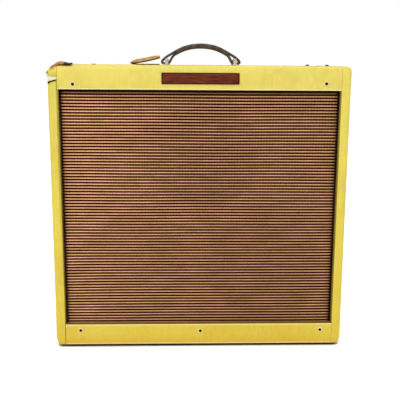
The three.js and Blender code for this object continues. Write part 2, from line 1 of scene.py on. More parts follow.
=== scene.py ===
"""Looks of a cloth-covered combo guitar amplifier, built round its CAD frame.

Metres, +Z up, the grille towards -Y and +X to the right seen from the front.
"""
from __future__ import annotations

import json
import logging
import math
import random
from dataclasses import dataclass, field, replace
from enum import Enum
from functools import partial
from typing import Callable, Iterable, Sequence

import bmesh
import bpy
from bmesh.types import BMEdge, BMFace, BMVert
from mathutils import Matrix, Vector, noise


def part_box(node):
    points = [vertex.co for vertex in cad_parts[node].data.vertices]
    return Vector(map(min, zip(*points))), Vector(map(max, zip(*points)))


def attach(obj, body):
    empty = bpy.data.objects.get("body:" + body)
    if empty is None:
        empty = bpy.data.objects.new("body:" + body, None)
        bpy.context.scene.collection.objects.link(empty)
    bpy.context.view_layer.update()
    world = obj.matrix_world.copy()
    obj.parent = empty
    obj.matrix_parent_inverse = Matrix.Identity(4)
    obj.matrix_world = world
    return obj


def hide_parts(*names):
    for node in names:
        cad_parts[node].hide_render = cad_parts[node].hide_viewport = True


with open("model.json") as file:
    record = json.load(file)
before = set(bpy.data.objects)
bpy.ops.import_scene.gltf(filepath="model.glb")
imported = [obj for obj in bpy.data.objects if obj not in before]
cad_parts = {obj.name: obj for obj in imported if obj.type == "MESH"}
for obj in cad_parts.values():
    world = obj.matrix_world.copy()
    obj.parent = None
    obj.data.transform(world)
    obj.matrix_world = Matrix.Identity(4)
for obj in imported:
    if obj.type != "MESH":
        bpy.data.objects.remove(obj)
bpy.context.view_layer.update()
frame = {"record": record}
log = logging.getLogger("amplifier")
Pair = tuple[float, float]
Triple = tuple[float, float, float]
Point = Sequence[float]
Socket = bpy.types.NodeSocket


def corners(node: str) -> tuple[Vector, Vector]:
    """Lowest and highest corners of a CAD node."""
    low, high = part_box(node)
    return Vector(low), Vector(high)


def middle(node: str) -> Vector:
    """Middle of a CAD node's box."""
    low, high = corners(node)
    return (low + high) / 2


MM = 0.001
TOUCH = 1e-5  # points nearer to a plane than this lie on it
TURN = 2 * math.pi
CASE_LOW, CASE_HIGH = corners("tweed_cover")
TOP = CASE_HIGH.z
JOINTS = {joint["name"]: joint for joint in frame["record"]["behaviour"]["joints"]}
CONE_AXIS = Vector(JOINTS["cone_upper_stroke"]["axis"])
LEAN = math.atan2(-CONE_AXIS.z, CONE_AXIS.y)
# The leaning front's own frame: x across, y the depth behind the face, z up the slope.
FRONT = Matrix.Translation((0, CASE_LOW.y, CASE_LOW.z)) @ Matrix.Rotation(-LEAN, 4, "X")
ONTO_FRONT = FRONT.inverted()
BACKWARD = Matrix.Rotation(-math.pi / 2, 4, "X")  # lays a turned piece down to face the rear
UPSIDE_DOWN = Matrix.Rotation(math.pi, 4, "X")
KNOBS = [name.removesuffix("_turn") for name in JOINTS if name.endswith("_turn") and "fuse" not in name]
SPEAKERS = [name.removeprefix("cone_").removesuffix("_stroke") for name in JOINTS if name.endswith("_stroke")]


def up_slope(height: float) -> float:
    """How far up the leaning front a height lies."""
    return (height - CASE_LOW.z) / math.cos(LEAN)


def mm(x: float, y: float, z: float) -> Vector:
    """A point or a size given in millimetres."""
    return Vector((x, y, z)) * MM


def shift(x: float, y: float, z: float) -> Matrix:
    """A move by millimetres."""
    return Matrix.Translation(mm(x, y, z))


def show(name: str, data: bpy.types.ID) -> bpy.types.Object:
    """Puts a mesh, lamp or camera into the scene as an object."""
    made = bpy.data.objects.new(name, data)
    bpy.context.scene.collection.objects.link(made)
    return made


def only(kind: type, items: Iterable) -> list:
    """The items of one kind, as vertices among what an operator made."""
    return [item for item in items if isinstance(item, kind)]


def linear(hex_color: str) -> tuple[float, float, float, float]:
    """Turns an sRGB hex colour into linear light.

    Args:
        hex_color: Six hex digits.

    Returns:
        Linear red, green, blue and an alpha of 1.
    """
    parts = [int(hex_color[i : i + 2], 16) / 255 for i in (0, 2, 4)]
    return (*(c / 12.92 if c <= 0.04045 else ((c + 0.055) / 1.055) ** 2.4 for c in parts), 1.0)


def add(
    tree: bpy.types.NodeTree, kind: str, inputs: dict | None = None, out: int | str = 0, **settings
) -> Socket | None:
    """Adds one shader node with its settings and links.

    Args:
        tree: The material's node tree.
        kind: Node type without its ShaderNode prefix, then its operation where it has a choice of them.
        inputs: Input name or number to a value, or to the socket that feeds it.
        out: Name or number of the output that is wanted.
        settings: Attributes of the node.

    Returns:
        The socket of that output, or None where the node has no outputs.
    """
    kind, *operation = kind.split()
    node = tree.nodes.new("ShaderNode" + kind)
    if operation:
        node.operation = operation[0]
    for name, value in settings.items():
        setattr(node, name, value)
    for key, value in (inputs or {}).items():
        if isinstance(value, Socket):
            tree.links.new(value, node.inputs[key])
        else:
            node.inputs[key].default_value = value
    return node.outputs[out] if node.outputs else None


# ---- finishes
BANDS_SCALE = TURN / 20  # a wave texture's straight bands repeat once a metre at this scale
DIAGONAL_SCALE = TURN / (10 * math.sqrt(2))  # and its diagonal bands, across a face square to an axis
STRIPED_CLOTH_MAP = "cloth"


class Soil(Enum):
    """How dirty a surface has become."""

    CLEAN = 0.0
    HANDLED = 0.35
    GRIMY = 0.8


@dataclass(frozen=True)
class Finish:
    """A material by its real name, with its colour, gloss and a faint break-up by handling."""

    name: str
    color: str
    dark: str
    roughness: float = 0.5
    metallic: float = 0.0
    grain: float = 25 * MM  # size of the mottling
    coat: float = 0.0
    soil: Soil = Soil.HANDLED
    specular: float = 0.5

    def material(self) -> bpy.types.Material:
        """Returns this finish's material, made the first time it is asked for."""
        known = bpy.data.materials.get(self.name)
        if known:
            return known
        material = bpy.data.materials.new(self.name)
        material.use_nodes = True
        tree = material.node_tree
        tree.nodes.clear()
        put = partial(add, tree)
        plain = {
            "Roughness": self.roughness,
            "Metallic": self.metallic,
            "Coat Weight": self.coat,
            "Specular IOR Level": self.specular,
        }
        surface = put("BsdfPrincipled", plain | self.paint(put))
        put("OutputMaterial", {"Surface": surface})
        material.diffuse_color = linear(self.color)
        return material

    def paint(self, put: Callable) -> dict:
        """Mottles the colour and gloss; finishes with a pattern of their own replace this.

        Args:
            put: Adds a node to the material.

        Returns:
            What goes into the shader, by its input's name.
        """
        place = put("TexCoord", out="Object")
        mottle = put("TexNoise", {"Vector": place, "Scale": 1 / self.grain, "Detail": 6.0, "Roughness": 0.65})
        patch = put("MapRange", {0: mottle, 1: 0.35, 2: 0.75, 3: 0.0, 4: self.soil.value})
        dull, bright = self.roughness * 1.25, self.roughness * 0.8
        fine = put("TexNoise", {"Vector": place, "Scale": 8 / self.grain, "Detail": 4.0})
        return {
            "Base Color": self.between(put, patch),
            "Roughness": put("MapRange", {0: mottle, 1: 0.3, 2: 0.7, 3: bright, 4: dull}),
            "Normal": put("Bump", {"Height": fine, "Strength": 0.25, "Distance": 0.1 * MM}),
        }

    def between(self, put: Callable, amount: Socket) -> Socket:
        """The finish's own colour, going over to its dark one by an amount."""
        colors = {0: amount, 6: linear(self.color), 7: linear(self.dark)}
        return put("Mix", colors, 2, data_type="RGBA")


@dataclass(frozen=True)
class LacqueredTweed(Finish):
    """Cotton tweed under old lacquer: a yellow diagonal twill, more orange and soiled low down, with an orange
    painted shade at the foot and pale painted highlights along edges.
    """

    low_color: str = "E8CC3F"
    soil_color: str = "AE8A3A"
    underside_shade_color: str = "DDAA2C"
    edge_highlight_color: str = "FFF0B0"
    twill: float = 2.6 * MM  # drawn about twice as wide as the real rib, so that it shows
    thread: float = 1.3 * MM
    scuff_at: Vector | None = None
    highlit_edge_heights: tuple[float, ...] = ()  # edges given a pale painted highlight and rubbed pale, by their height

    def paint(self, put: Callable) -> dict:
        """Weaves the twill, yellows it towards the floor, rubs soil into it, and paints shade at the foot and
        highlights along edges.
        """
        place = put("TexCoord", out="Object")
        height = put("SeparateXYZ", {0: place}, 2)
        cloud = put("TexNoise", {"Vector": place, "Scale": 7.0, "Detail": 5.0, "Roughness": 0.6})
        slub = put("TexNoise", {"Vector": place, "Scale": 330.0, "Detail": 2.0})
        stain = put("TexNoise", {"Vector": place, "Scale": 16.0, "Detail": 8.0, "Roughness": 0.75})
        weave = self.weave(put, place)
        color = self.aged(put, height, cloud)
        hollow = put("MapRange", {0: weave, 1: 0.1, 2: 1.1, 3: 0.34, 4: 0.0})
        shade = put("Math MULTIPLY", {0: hollow, 1: slub})
        color = put("Mix", {0: shade, 6: color, 7: linear(self.dark)}, 2, data_type="RGBA")
        hung = put("Mapping", {"Vector": place, "Scale": (1, 1, 0.1)})
        warp = put("TexNoise", {"Vector": hung, "Scale": 320.0, "Detail": 3.0, "Roughness": 0.7})
        streaky = put("Math MULTIPLY_ADD", {0: warp, 1: 0.55, 2: stain})
        soiled = put("MapRange", {0: streaky, 1: 0.72, 2: 1.05, 3: 0.0, 4: self.soil.value * 0.9})
        color = put("Mix", {0: soiled, 6: color, 7: linear(self.soil_color)}, 2, data_type="RGBA")
        # Painted shade: an orange band at the foot, where the rounded lower edge curves under, away from the
        # light.
        foot = put("Math MULTIPLY_ADD", {0: cloud, 1: 22 * MM, 2: height})
        low = put("MapRange", {0: foot, 1: 36 * MM, 2: 16 * MM, 3: 0.0, 4: 0.5})
        color = put("Mix", {0: low, 6: color, 7: linear(self.underside_shade_color)}, 2, data_type="RGBA")
        # Painted highlight: a pale line along each listed edge height, where light catches the rounded edge,
        # broken up by the stain noise as rubbed wear.
        for worn in self.highlit_edge_heights:
            away = put("Math ADD", {0: height, 1: -worn})
            away = put("Math ABSOLUTE", {0: away})
            highlight_line = put("MapRange", {0: away, 1: 0.7 * MM, 2: 1.6 * MM, 3: 0.75, 4: 0.0})
            highlight_line = put("Math MULTIPLY", {0: highlight_line, 1: stain})
            highlight_line = put("Math MULTIPLY", {0: highlight_line, 1: 1.7}, use_clamp=True)
            color = put("Mix", {0: highlight_line, 6: color, 7: linear(self.edge_highlight_color)}, 2, data_type="RGBA")
        if self.scuff_at is not None:
            color = self.scuffed(put, place, color)
        relief = put("Math MULTIPLY_ADD", {0: slub, 1: 0.6, 2: weave})
        return {
            "Base Color": color,
            "Roughness": put("MapRange", {0: stain, 1: 0.3, 2: 0.7, 3: 0.38, 4: 0.62}),
            "Normal": put("Bump", {"Height": relief, "Strength": 0.6, "Distance": 0.22 * MM}),
        }

    def weave(self, put: Callable, place: Socket) -> Socket:
        """The height of the twill's ribs, crossed by finer threads."""
        turned = put("Mapping", {"Vector": place, "Scale": (1, 1, -1)})
        rib = {"Vector": place, "Scale": DIAGONAL_SCALE / self.twill, "Distortion": 0.9, "Detail": 2.0}
        rib["Detail Scale"] = 3.0
        thread = {"Vector": turned, "Scale": DIAGONAL_SCALE / self.thread, "Distortion": 1.5, "Detail": 1.0}
        twill, cross = (put("TexWave", wave, 1, bands_direction="DIAGONAL") for wave in (rib, thread))
        return put("Math MULTIPLY_ADD", {0: cross, 1: 0.35, 2: twill})

    def aged(self, put: Callable, height: Socket, cloud: Socket) -> Socket:
        """The cloth's colour, deeper in clouds and towards the floor, where it was sunned less."""
        aged = put("MapRange", {0: height, 1: 0.60, 2: -0.05, 3: -0.15, 4: 1.0})
        clouded = put("Math MULTIPLY_ADD", {0: cloud, 1: 0.9, 2: -0.45})
        age = put("Math ADD", {0: aged, 1: clouded}, use_clamp=True)
        return put("Mix", {0: age, 6: linear(self.color), 7: linear(self.low_color)}, 2, data_type="RGBA")

    def scuffed(self, put: Callable, place: Socket, color: Socket) -> Socket:
        """Rubs the colour through to brown round the damaged corner.

        Args:
            put: Adds a node to the material.
            place: Object coordinates.
            color: The cloth's colour so far.

        Returns:
            The socket of the rubbed colour.
        """
        away = put("VectorMath DISTANCE", {0: place, 1: self.scuff_at}, "Value")
        ragged = put("TexNoise", {"Vector": place, "Scale": 120.0, "Detail": 6.0, "Roughness": 0.7})
        reach = put("Math MULTIPLY_ADD", {0: ragged, 1: 0.045, 2: away})
        rubbed = put("MapRange", {0: reach, 1: 0.034, 2: 0.026, 3: 0.0, 4: 1.0})
        brown = put("Mix", {0: ragged, 6: linear("B98552"), 7: linear("5A3A22")}, 2, data_type="RGBA")
        return put("Mix", {0: rubbed, 6: color, 7: brown}, 2, data_type="RGBA")


@dataclass(frozen=True)
class RibbedCloth(Finish):
    """Grille cloth: tan cords on dark brown backing, tinted unevenly, dusty where the cones breathe, and
    painted darker round the opening as shade from the recess.
    """

    olive: str = "C4A068"
    pitch: float = 5.83 * MM
    rise: float = 0.0  # where the first cord lies
    thread: float = 5.6 * MM  # far coarser than the real cross threads, so that they show
    cones: tuple[Pair, ...] = ()
    cone_radius: float = 0.114
    top: float = 0.5  # where the cloth passes under the valance; the painted shade is darkest here
    half_width: float = 0.26

    def paint(self, put: Callable) -> dict:
        """Stripes the cloth along its own map, in metres across and up, dusts it round the cones and paints
        shade along the top and sides of the opening.
        """
        flat = put("UVMap", uv_map=STRIPED_CLOTH_MAP)
        across, up, _ = put("SeparateXYZ", {0: flat}).node.outputs
        lit = self.striped(put, across, up)
        lit = self.threaded(put, flat, across, up, lit)
        for x, z in self.cones:
            centre = put("VectorMath DISTANCE", {0: flat, 1: (x, z, 0)}, "Value")
            edge = self.cone_radius
            dust = put("MapRange", {0: centre, 1: edge - 0.012, 2: edge + 0.006, 3: 0.9, 4: 1.0})
            lit = put("VectorMath SCALE", {0: lit, "Scale": dust})
        beside = put("Math ABSOLUTE", {0: across})
        # Painted shade: the cloth darkens towards its top, under the valance, and towards both sides, where the
        # recess shades it.
        for place, edge, reach in ((up, self.top, 11 * MM), (beside, self.half_width, 6 * MM)):
            recess_shade = put("MapRange", {0: place, 1: edge - reach, 2: edge - 0.3 * reach, 3: 1.0, 4: 0.12})
            lit = put("VectorMath SCALE", {0: lit, "Scale": recess_shade})
        fuzz = put("TexNoise", {"Vector": flat, "Scale": 700.0, "Detail": 3.0})
        return {
            "Base Color": lit,
            "Normal": put("Bump", {"Height": fuzz, "Strength": 0.5, "Distance": 0.2 * MM}),
        }

    def striped(self, put: Callable, across: Socket, up: Socket) -> Socket:
        """The colour of the cords and of the backing between them.

        Args:
            put: Adds a node to the material.
            across: Metres across the cloth.
            up: Metres up the cloth.

        Returns:
            The socket of the colour.
        """
        raised = put("Math ADD", {0: up, 1: -self.rise})
        count = put("Math MULTIPLY", {0: raised, 1: 1 / self.pitch})
        index = put("Math ROUND", {0: count})
        phase = put("Math MULTIPLY", {0: count, 1: TURN})
        crest = put("Math COSINE", {0: phase})
        cord = put("MapRange", {0: crest, 1: 0.22, 2: 0.78, 3: 0.0, 4: 1.0}, interpolation_type="SMOOTHSTEP")
        wide = put("Math MULTIPLY", {0: across, 1: 11.0})
        row = put("Math MULTIPLY", {0: index, 1: 0.31})
        patch = put("CombineXYZ", {0: wide, 1: row})
        tint = put("TexNoise", {"Vector": patch, "Scale": 1.6, "Detail": 4.0, "Roughness": 0.6})
        hue = put("MapRange", {0: tint, 1: 0.36, 2: 0.64, 3: 0.0, 4: 1.0})
        light = put("Mix", {0: hue, 6: linear(self.color), 7: linear(self.olive)}, 2, data_type="RGBA")
        return put("Mix", {0: cord, 6: linear(self.dark), 7: light}, 2, data_type="RGBA")

    def threaded(self, put: Callable, flat: Socket, across: Socket, up: Socket, color: Socket) -> Socket:
        """Breaks the stripes up with cross threads, stronger high up, on a cloth that darkens to the right.

        Args:
            put: Adds a node to the material.
            flat: The cloth's own map.
            across: Metres across the cloth.
            up: Metres up the cloth.
            color: The stripes.

        Returns:
            The socket of the colour.
        """
        wave = {"Vector": flat, "Scale": BANDS_SCALE / self.thread, "Distortion": 1.6, "Detail": 2.0}
        threads = put("TexWave", wave, 1, bands_direction="X")
        shown = put("MapRange", {0: up, 1: 0.22, 2: 0.46, 3: 0.06, 4: 0.26})
        swing = put("Math ADD", {0: threads, 1: -0.5})
        faded = put("MapRange", {0: across, 1: -0.22, 2: 0.02, 3: 1.12, 4: 0.84})
        thread = put("Math MULTIPLY_ADD", {0: swing, 1: shown, 2: faded})
        return put("VectorMath SCALE", {0: color, "Scale": thread})


@dataclass(frozen=True)
class StreakedFinish(Finish):
    """A surface drawn or grown in one direction: brushed metal, sawn wood or a streaked enamel."""

    along: Triple = (0.05, 1.0, 1.0)  # how quickly the pattern changes on each axis
    streak: float = 1.2 * MM
    relief: float = 0.08 * MM
    depth: float = 0.6

    def paint(self, put: Callable) -> dict:
        """Draws long streaks in the colour, the gloss and the relief."""
        place = put("TexCoord", out="Object")
        drawn = put("Mapping", {"Vector": place, "Scale": self.along})
        narrow = {"Vector": drawn, "Scale": 1 / self.streak, "Detail": 5.0, "Roughness": 0.7, "Distortion": 0.2}
        streaks = put("TexNoise", narrow)
        wide = put("TexNoise", {"Vector": drawn, "Scale": 0.12 / self.streak, "Detail": 3.0})
        both = put("Math MULTIPLY_ADD", {0: wide, 1: 0.8, 2: streaks})
        fade = put("MapRange", {0: both, 1: 0.6, 2: 1.2, 3: 0.0, 4: self.depth})
        dull, bright = self.roughness * 1.3, self.roughness * 0.75
        return {
            "Base Color": self.between(put, fade),
            "Roughness": put("MapRange", {0: both, 1: 0.5, 2: 1.3, 3: bright, 4: dull}),
            "Normal": put("Bump", {"Height": streaks, "Strength": 0.4, "Distance": self.relief}),
        }


@dataclass(frozen=True)
class Leather(Finish):
    """Old vegetable-tanned leather: a pebbled grain with creases, dulled and cracked by hands."""

    pebbles: float = 1.1 * MM

    def paint(self, put: Callable) -> dict:
        """Pebbles and creases the hide."""
        place = put("TexCoord", out="Object")
        pebble = put("TexVoronoi", {"Vector": place, "Scale": 1 / self.pebbles}, feature="DISTANCE_TO_EDGE")
        worn = put("TexNoise", {"Vector": place, "Scale": 1 / self.grain, "Detail": 7.0, "Roughness": 0.7})
        patch = put("MapRange", {0: worn, 1: 0.35, 2: 0.68})
        crease = put("MapRange", {0: pebble, 1: 0.0, 2: 0.12, 3: 0.6, 4: 0.0})
        tone = put("Math MAXIMUM", {0: patch, 1: crease})
        relief = put("Math MULTIPLY_ADD", {0: worn, 1: 0.8, 2: pebble})
        return {
            "Base Color": self.between(put, tone),
            "Roughness": put("MapRange", {0: worn, 1: 0.3, 2: 0.7, 3: self.roughness * 0.8, 4: 0.75}),
            "Normal": put("Bump", {"Height": relief, "Strength": 0.55, "Distance": 0.25 * MM}),
        }


@dataclass(frozen=True)
class Glass(Finish):
    """Blown or moulded glass: clear with a slight tint, or a coloured lens."""

    clear: float = 0.95

    def paint(self, put: Callable) -> dict:
        """Lets light through, with a breath of uneven thickness and dust."""
        place = put("TexCoord", out="Object")
        dust = put("TexNoise", {"Vector": place, "Scale": 1 / self.grain, "Detail": 5.0})
        film = put("MapRange", {0: dust, 1: 0.45, 2: 0.8, 3: self.roughness, 4: self.roughness + 0.25})
        clear = {"Base Color": linear(self.color), "Transmission Weight": self.clear, "IOR": 1.5}
        return clear | {"Roughness": film}


@dataclass(frozen=True)
class StudioFloor(Finish):
    """A matt white floor that darkens where something stands close over it."""

    lift: float = 0.42  # it is shown this much brighter than it is lit
    shade_color: str = "2E2208"

    def paint(self, put: Callable) -> dict:
        """Shades the floor near what stands on it, and lifts the rest of it towards white."""
        open_sky = put("AmbientOcclusion", {"Distance": 60 * MM}, "AO", samples=8)
        sheltered = put("Math POWER", {0: open_sky, 1: 1.2})
        near = put("AmbientOcclusion", {"Distance": 9 * MM}, "AO", samples=8)
        clear = put("MapRange", {0: near, 1: 0.42, 2: 0.72})
        shades = {0: clear, 6: linear(self.shade_color), 7: linear(self.color)}
        lift = put("Math MULTIPLY", {0: put("LightPath"), 1: self.lift})
        for dimmed in (sheltered, clear):
            lift = put("Math MULTIPLY", {0: lift, 1: dimmed})
        return super().paint(put) | {
            "Base Color": put("Mix", shades, 2, data_type="RGBA"),
            "Emission Strength": lift,
            "Emission Color": (1, 1, 1, 1),
        }


# Lacquered cotton tweed reads as a warm yellow cloth; the shell's own version is rubbed brown at one corner.
CORNER_WEAR = FRONT @ Vector((CASE_LOW.x + 14 * MM, 3 * MM, up_slope(TOP)))
TWEED = LacqueredTweed("lacquered_tweed", "EEDD6A", "A8862F", specular=0.3)
SHELL_TWEED = replace(TWEED, name="lacquered_tweed_shell", color="EDDD61", scuff_at=CORNER_WEAR)
# Cloth handled otherwise: rubbed to a pale ring by a screw, darker on a ledge, or brown with glue behind.
RUBBED_CLOTH = Finish("rubbed_cloth_ring", "F3E3A6", "BFA764", 0.6, grain=3 * MM)
DARK_LEDGE_TWEED = Finish("dark_tweed_ledge", "8A6C22", "5A4718", 0.85, grain=4 * MM, soil=Soil.GRIMY, specular=0.2)
TWEED_BACK = Finish("glue_stained_tweed_back", "C88A52", "6A3E1E", 0.8, grain=6 * MM, soil=Soil.GRIMY)
# Planed pine, gone amber under lacquer; the grain runs up the sides and along the level boards.
PINE_UPRIGHT = StreakedFinish("lacquered_pine_upright", "D8B07A", "A87845", along=(1, 1, 0.05), streak=4 * MM)
PINE_LEVEL = replace(PINE_UPRIGHT, name="lacquered_pine_level", along=(0.05, 1, 1))
# Broken pine is pale and matt, and rotary-cut birch has broad brown figure.
BARE_PINE = StreakedFinish("bare_pine", "F6EDDA", "D9C3A0", 0.8, along=(1, 1, 0.1), streak=2 * MM)
PLYWOOD = StreakedFinish("birch_plywood", "C49A66", "8E6638", 0.65, along=(0.06, 1, 1), streak=3 * MM)
# Enamelled steel badge blank, streaked where the enamel was wiped on, so it looks like dark varnished wood.
PLATE_ENAMEL = StreakedFinish(
    "brown_enamel_plate", "8A3A20", "0E0300", 0.55, specular=0.12,
    along=(0.16, 1, 1), streak=3.2 * MM, depth=1.0,
)
# The rim's own dark brown is painted near black, as a painted shadow round the raised plate.
PLATE_RIM_SHADED = Finish("plate_rim_painted_shadow", "2C0F07", "120402", 0.5, grain=5 * MM, soil=Soil.GRIMY, specular=0.2)
# Leather is dull and pebbled: brown where hands oiled it, tan on a strap's grain, near black on its flesh, a
# black that on the tag is also painted shade.
BROWN_LEATHER = Leather("brown_harness_leather", "64524A", "22150F", 0.5, grain=9 * MM, specular=0.3)
TAN_LEATHER = Leather("tan_leather_strap", "DCAC60", "8E5E26", 0.6, grain=8 * MM, specular=0.12)
FLESH_SIDE = Leather("leather_flesh_side", "3A2214", "1A0E08", 0.85, grain=6 * MM, specular=0.1)
WAXED_THREAD = Finish("waxed_linen_thread", "B7A98C", "6B5A40", 0.7, grain=3 * MM)
# Fixings: black or rusty where bare steel has aged, greyish white where nickel has dulled.
DARK_STEEL = Finish("blackened_steel", "4A443E", "17130F", 0.35, 0.9, grain=5 * MM, soil=Soil.GRIMY)
RUSTED_SCREW = Finish("rusted_screw_head", "3A2216", "120A06", 0.55, 0.6, grain=2 * MM, soil=Soil.GRIMY)
NICKEL = Finish("dulled_nickel_plate", "DEDCD6", "8A867C", 0.38, 0.9, grain=12 * MM)
# A mirror with faint polishing lines, grey pressed steel, and a deep blue gloss over steel.
CHROME = StreakedFinish(
    "chromed_sheet_steel", "C9CCD0", "8D9094", 0.16, 1.0,
    along=(0.04, 1, 1), streak=1.5 * MM, relief=0.01 * MM, depth=0.35,
)
ZINC_STEEL = Finish("zinc_plated_pressed_steel", "9A9C9A", "5F615E", 0.42, 0.85, grain=14 * MM)
BLUE_LACQUER = Finish("blue_lacquered_steel", "2D4A63", "182735", 0.35, 0.3, grain=20 * MM)
# Matt dark goods: waxed fibre with a slight sheen, felted cone paper, and inks in and on the panel.
FIBRE = Finish("waxed_fibre_board", "3C2A1E", "1D130D", 0.6, grain=8 * MM)
CONE_PAPER = Finish("pressed_cone_paper", "34302B", "1A1714", 0.9, grain=7 * MM, soil=Soil.GRIMY)
DIAL_BLACK = Finish("black_dial_ink", "151412", "2A2724", 0.6, grain=3 * MM)
DIAL_WHITE = Finish("white_filled_line", "E8E2D0", "B9B09A", 0.5, grain=3 * MM)
# Small electrical parts: semi-gloss brown and amber bodies on bright tinned wire, in glossy moulded black.
RESISTOR = Finish("brown_carbon_resistor", "6B4630", "3F2619", 0.4, grain=4 * MM)
WAXED_PAPER = Finish("waxed_paper_capacitor", "C9A24A", "8D6A2A", 0.45, grain=6 * MM)
SOLDER = Finish("tinned_copper_and_solder", "B5B3AC", "77756E", 0.35, 1.0, grain=2 * MM)
PHENOLIC = Finish("black_phenolic", "191613", "2B2722", 0.3, grain=10 * MM, coat=0.2)
# Clear glass with a silver flash inside it over sooty nickel and cloudy mica, and a red faceted lens.
RUBY = Glass("ruby_glass_jewel", "C4101C", "5A060A", 0.05, clear=0.8, grain=8 * MM)
VALVE_GLASS = Glass("clear_valve_glass", "F3F6F4", "D9DDDA", 0.02, clear=1.0, grain=20 * MM)
BLACKENED_NICKEL = Finish("carbonised_nickel", "3B3C3D", "1E1F20", 0.5, 0.8, grain=10 * MM)
MICA = Finish("mica_spacer", "CFC8B4", "A39B84", 0.3, grain=6 * MM)
GETTER = Finish("silvered_getter_flash", "8A8D90", "2A2B2D", 0.12, 1.0, grain=16 * MM, soil=Soil.GRIMY)
# Old iron: a core's stacked edges under brown varnish, and bells in black enamel. Rubber is matt black.
LAMINATIONS = StreakedFinish(
    "varnished_laminations", "4B4038", "1E1915", 0.5, 0.5, along=(0.03, 0.03, 1), streak=0.6 * MM, depth=0.8
)
BLACK_ENAMEL = Finish("black_enamelled_steel", "1C1C1D", "38332C", 0.32, grain=22 * MM, coat=0.3)
RUBBER = Finish("black_rubber", "1F1E1D", "3A3733", 0.8, grain=6 * MM)


# ---- the bench
def through(points: Sequence[Pair], steps: int) -> list[tuple[Vector, Vector]]:
    """Draws a smooth curve through points in the XZ plane.

    Args:
        points: The (x, z) points that the curve passes.
        steps: Stations on each span.

    Returns:
        (place, direction) of each station.
    """
    inner = [Vector(point) for point in points]
    ends = [2 * inner[0] - inner[1], *inner, 2 * inner[-1] - inner[-2]]
    stations = []
    for i in range(1, len(ends) - 2):
        a, b, c, d = ends[i - 1 : i + 3]
        last = i == len(ends) - 3
        for k in range(steps + (1 if last else 0)):
            t = k / steps
            square, cube = 2 * a - 5 * b + 4 * c - d, 3 * b - a - 3 * c + d
            at = 0.5 * (2 * b + (c - a) * t + square * t**2 + cube * t**3)
            way = 0.5 * ((c - a) + 2 * square * t + 3 * cube * t**2)
            stations.append((Vector((at.x, 0, at.y)), Vector((way.x, 0, way.y)).normalized()))
    return stations


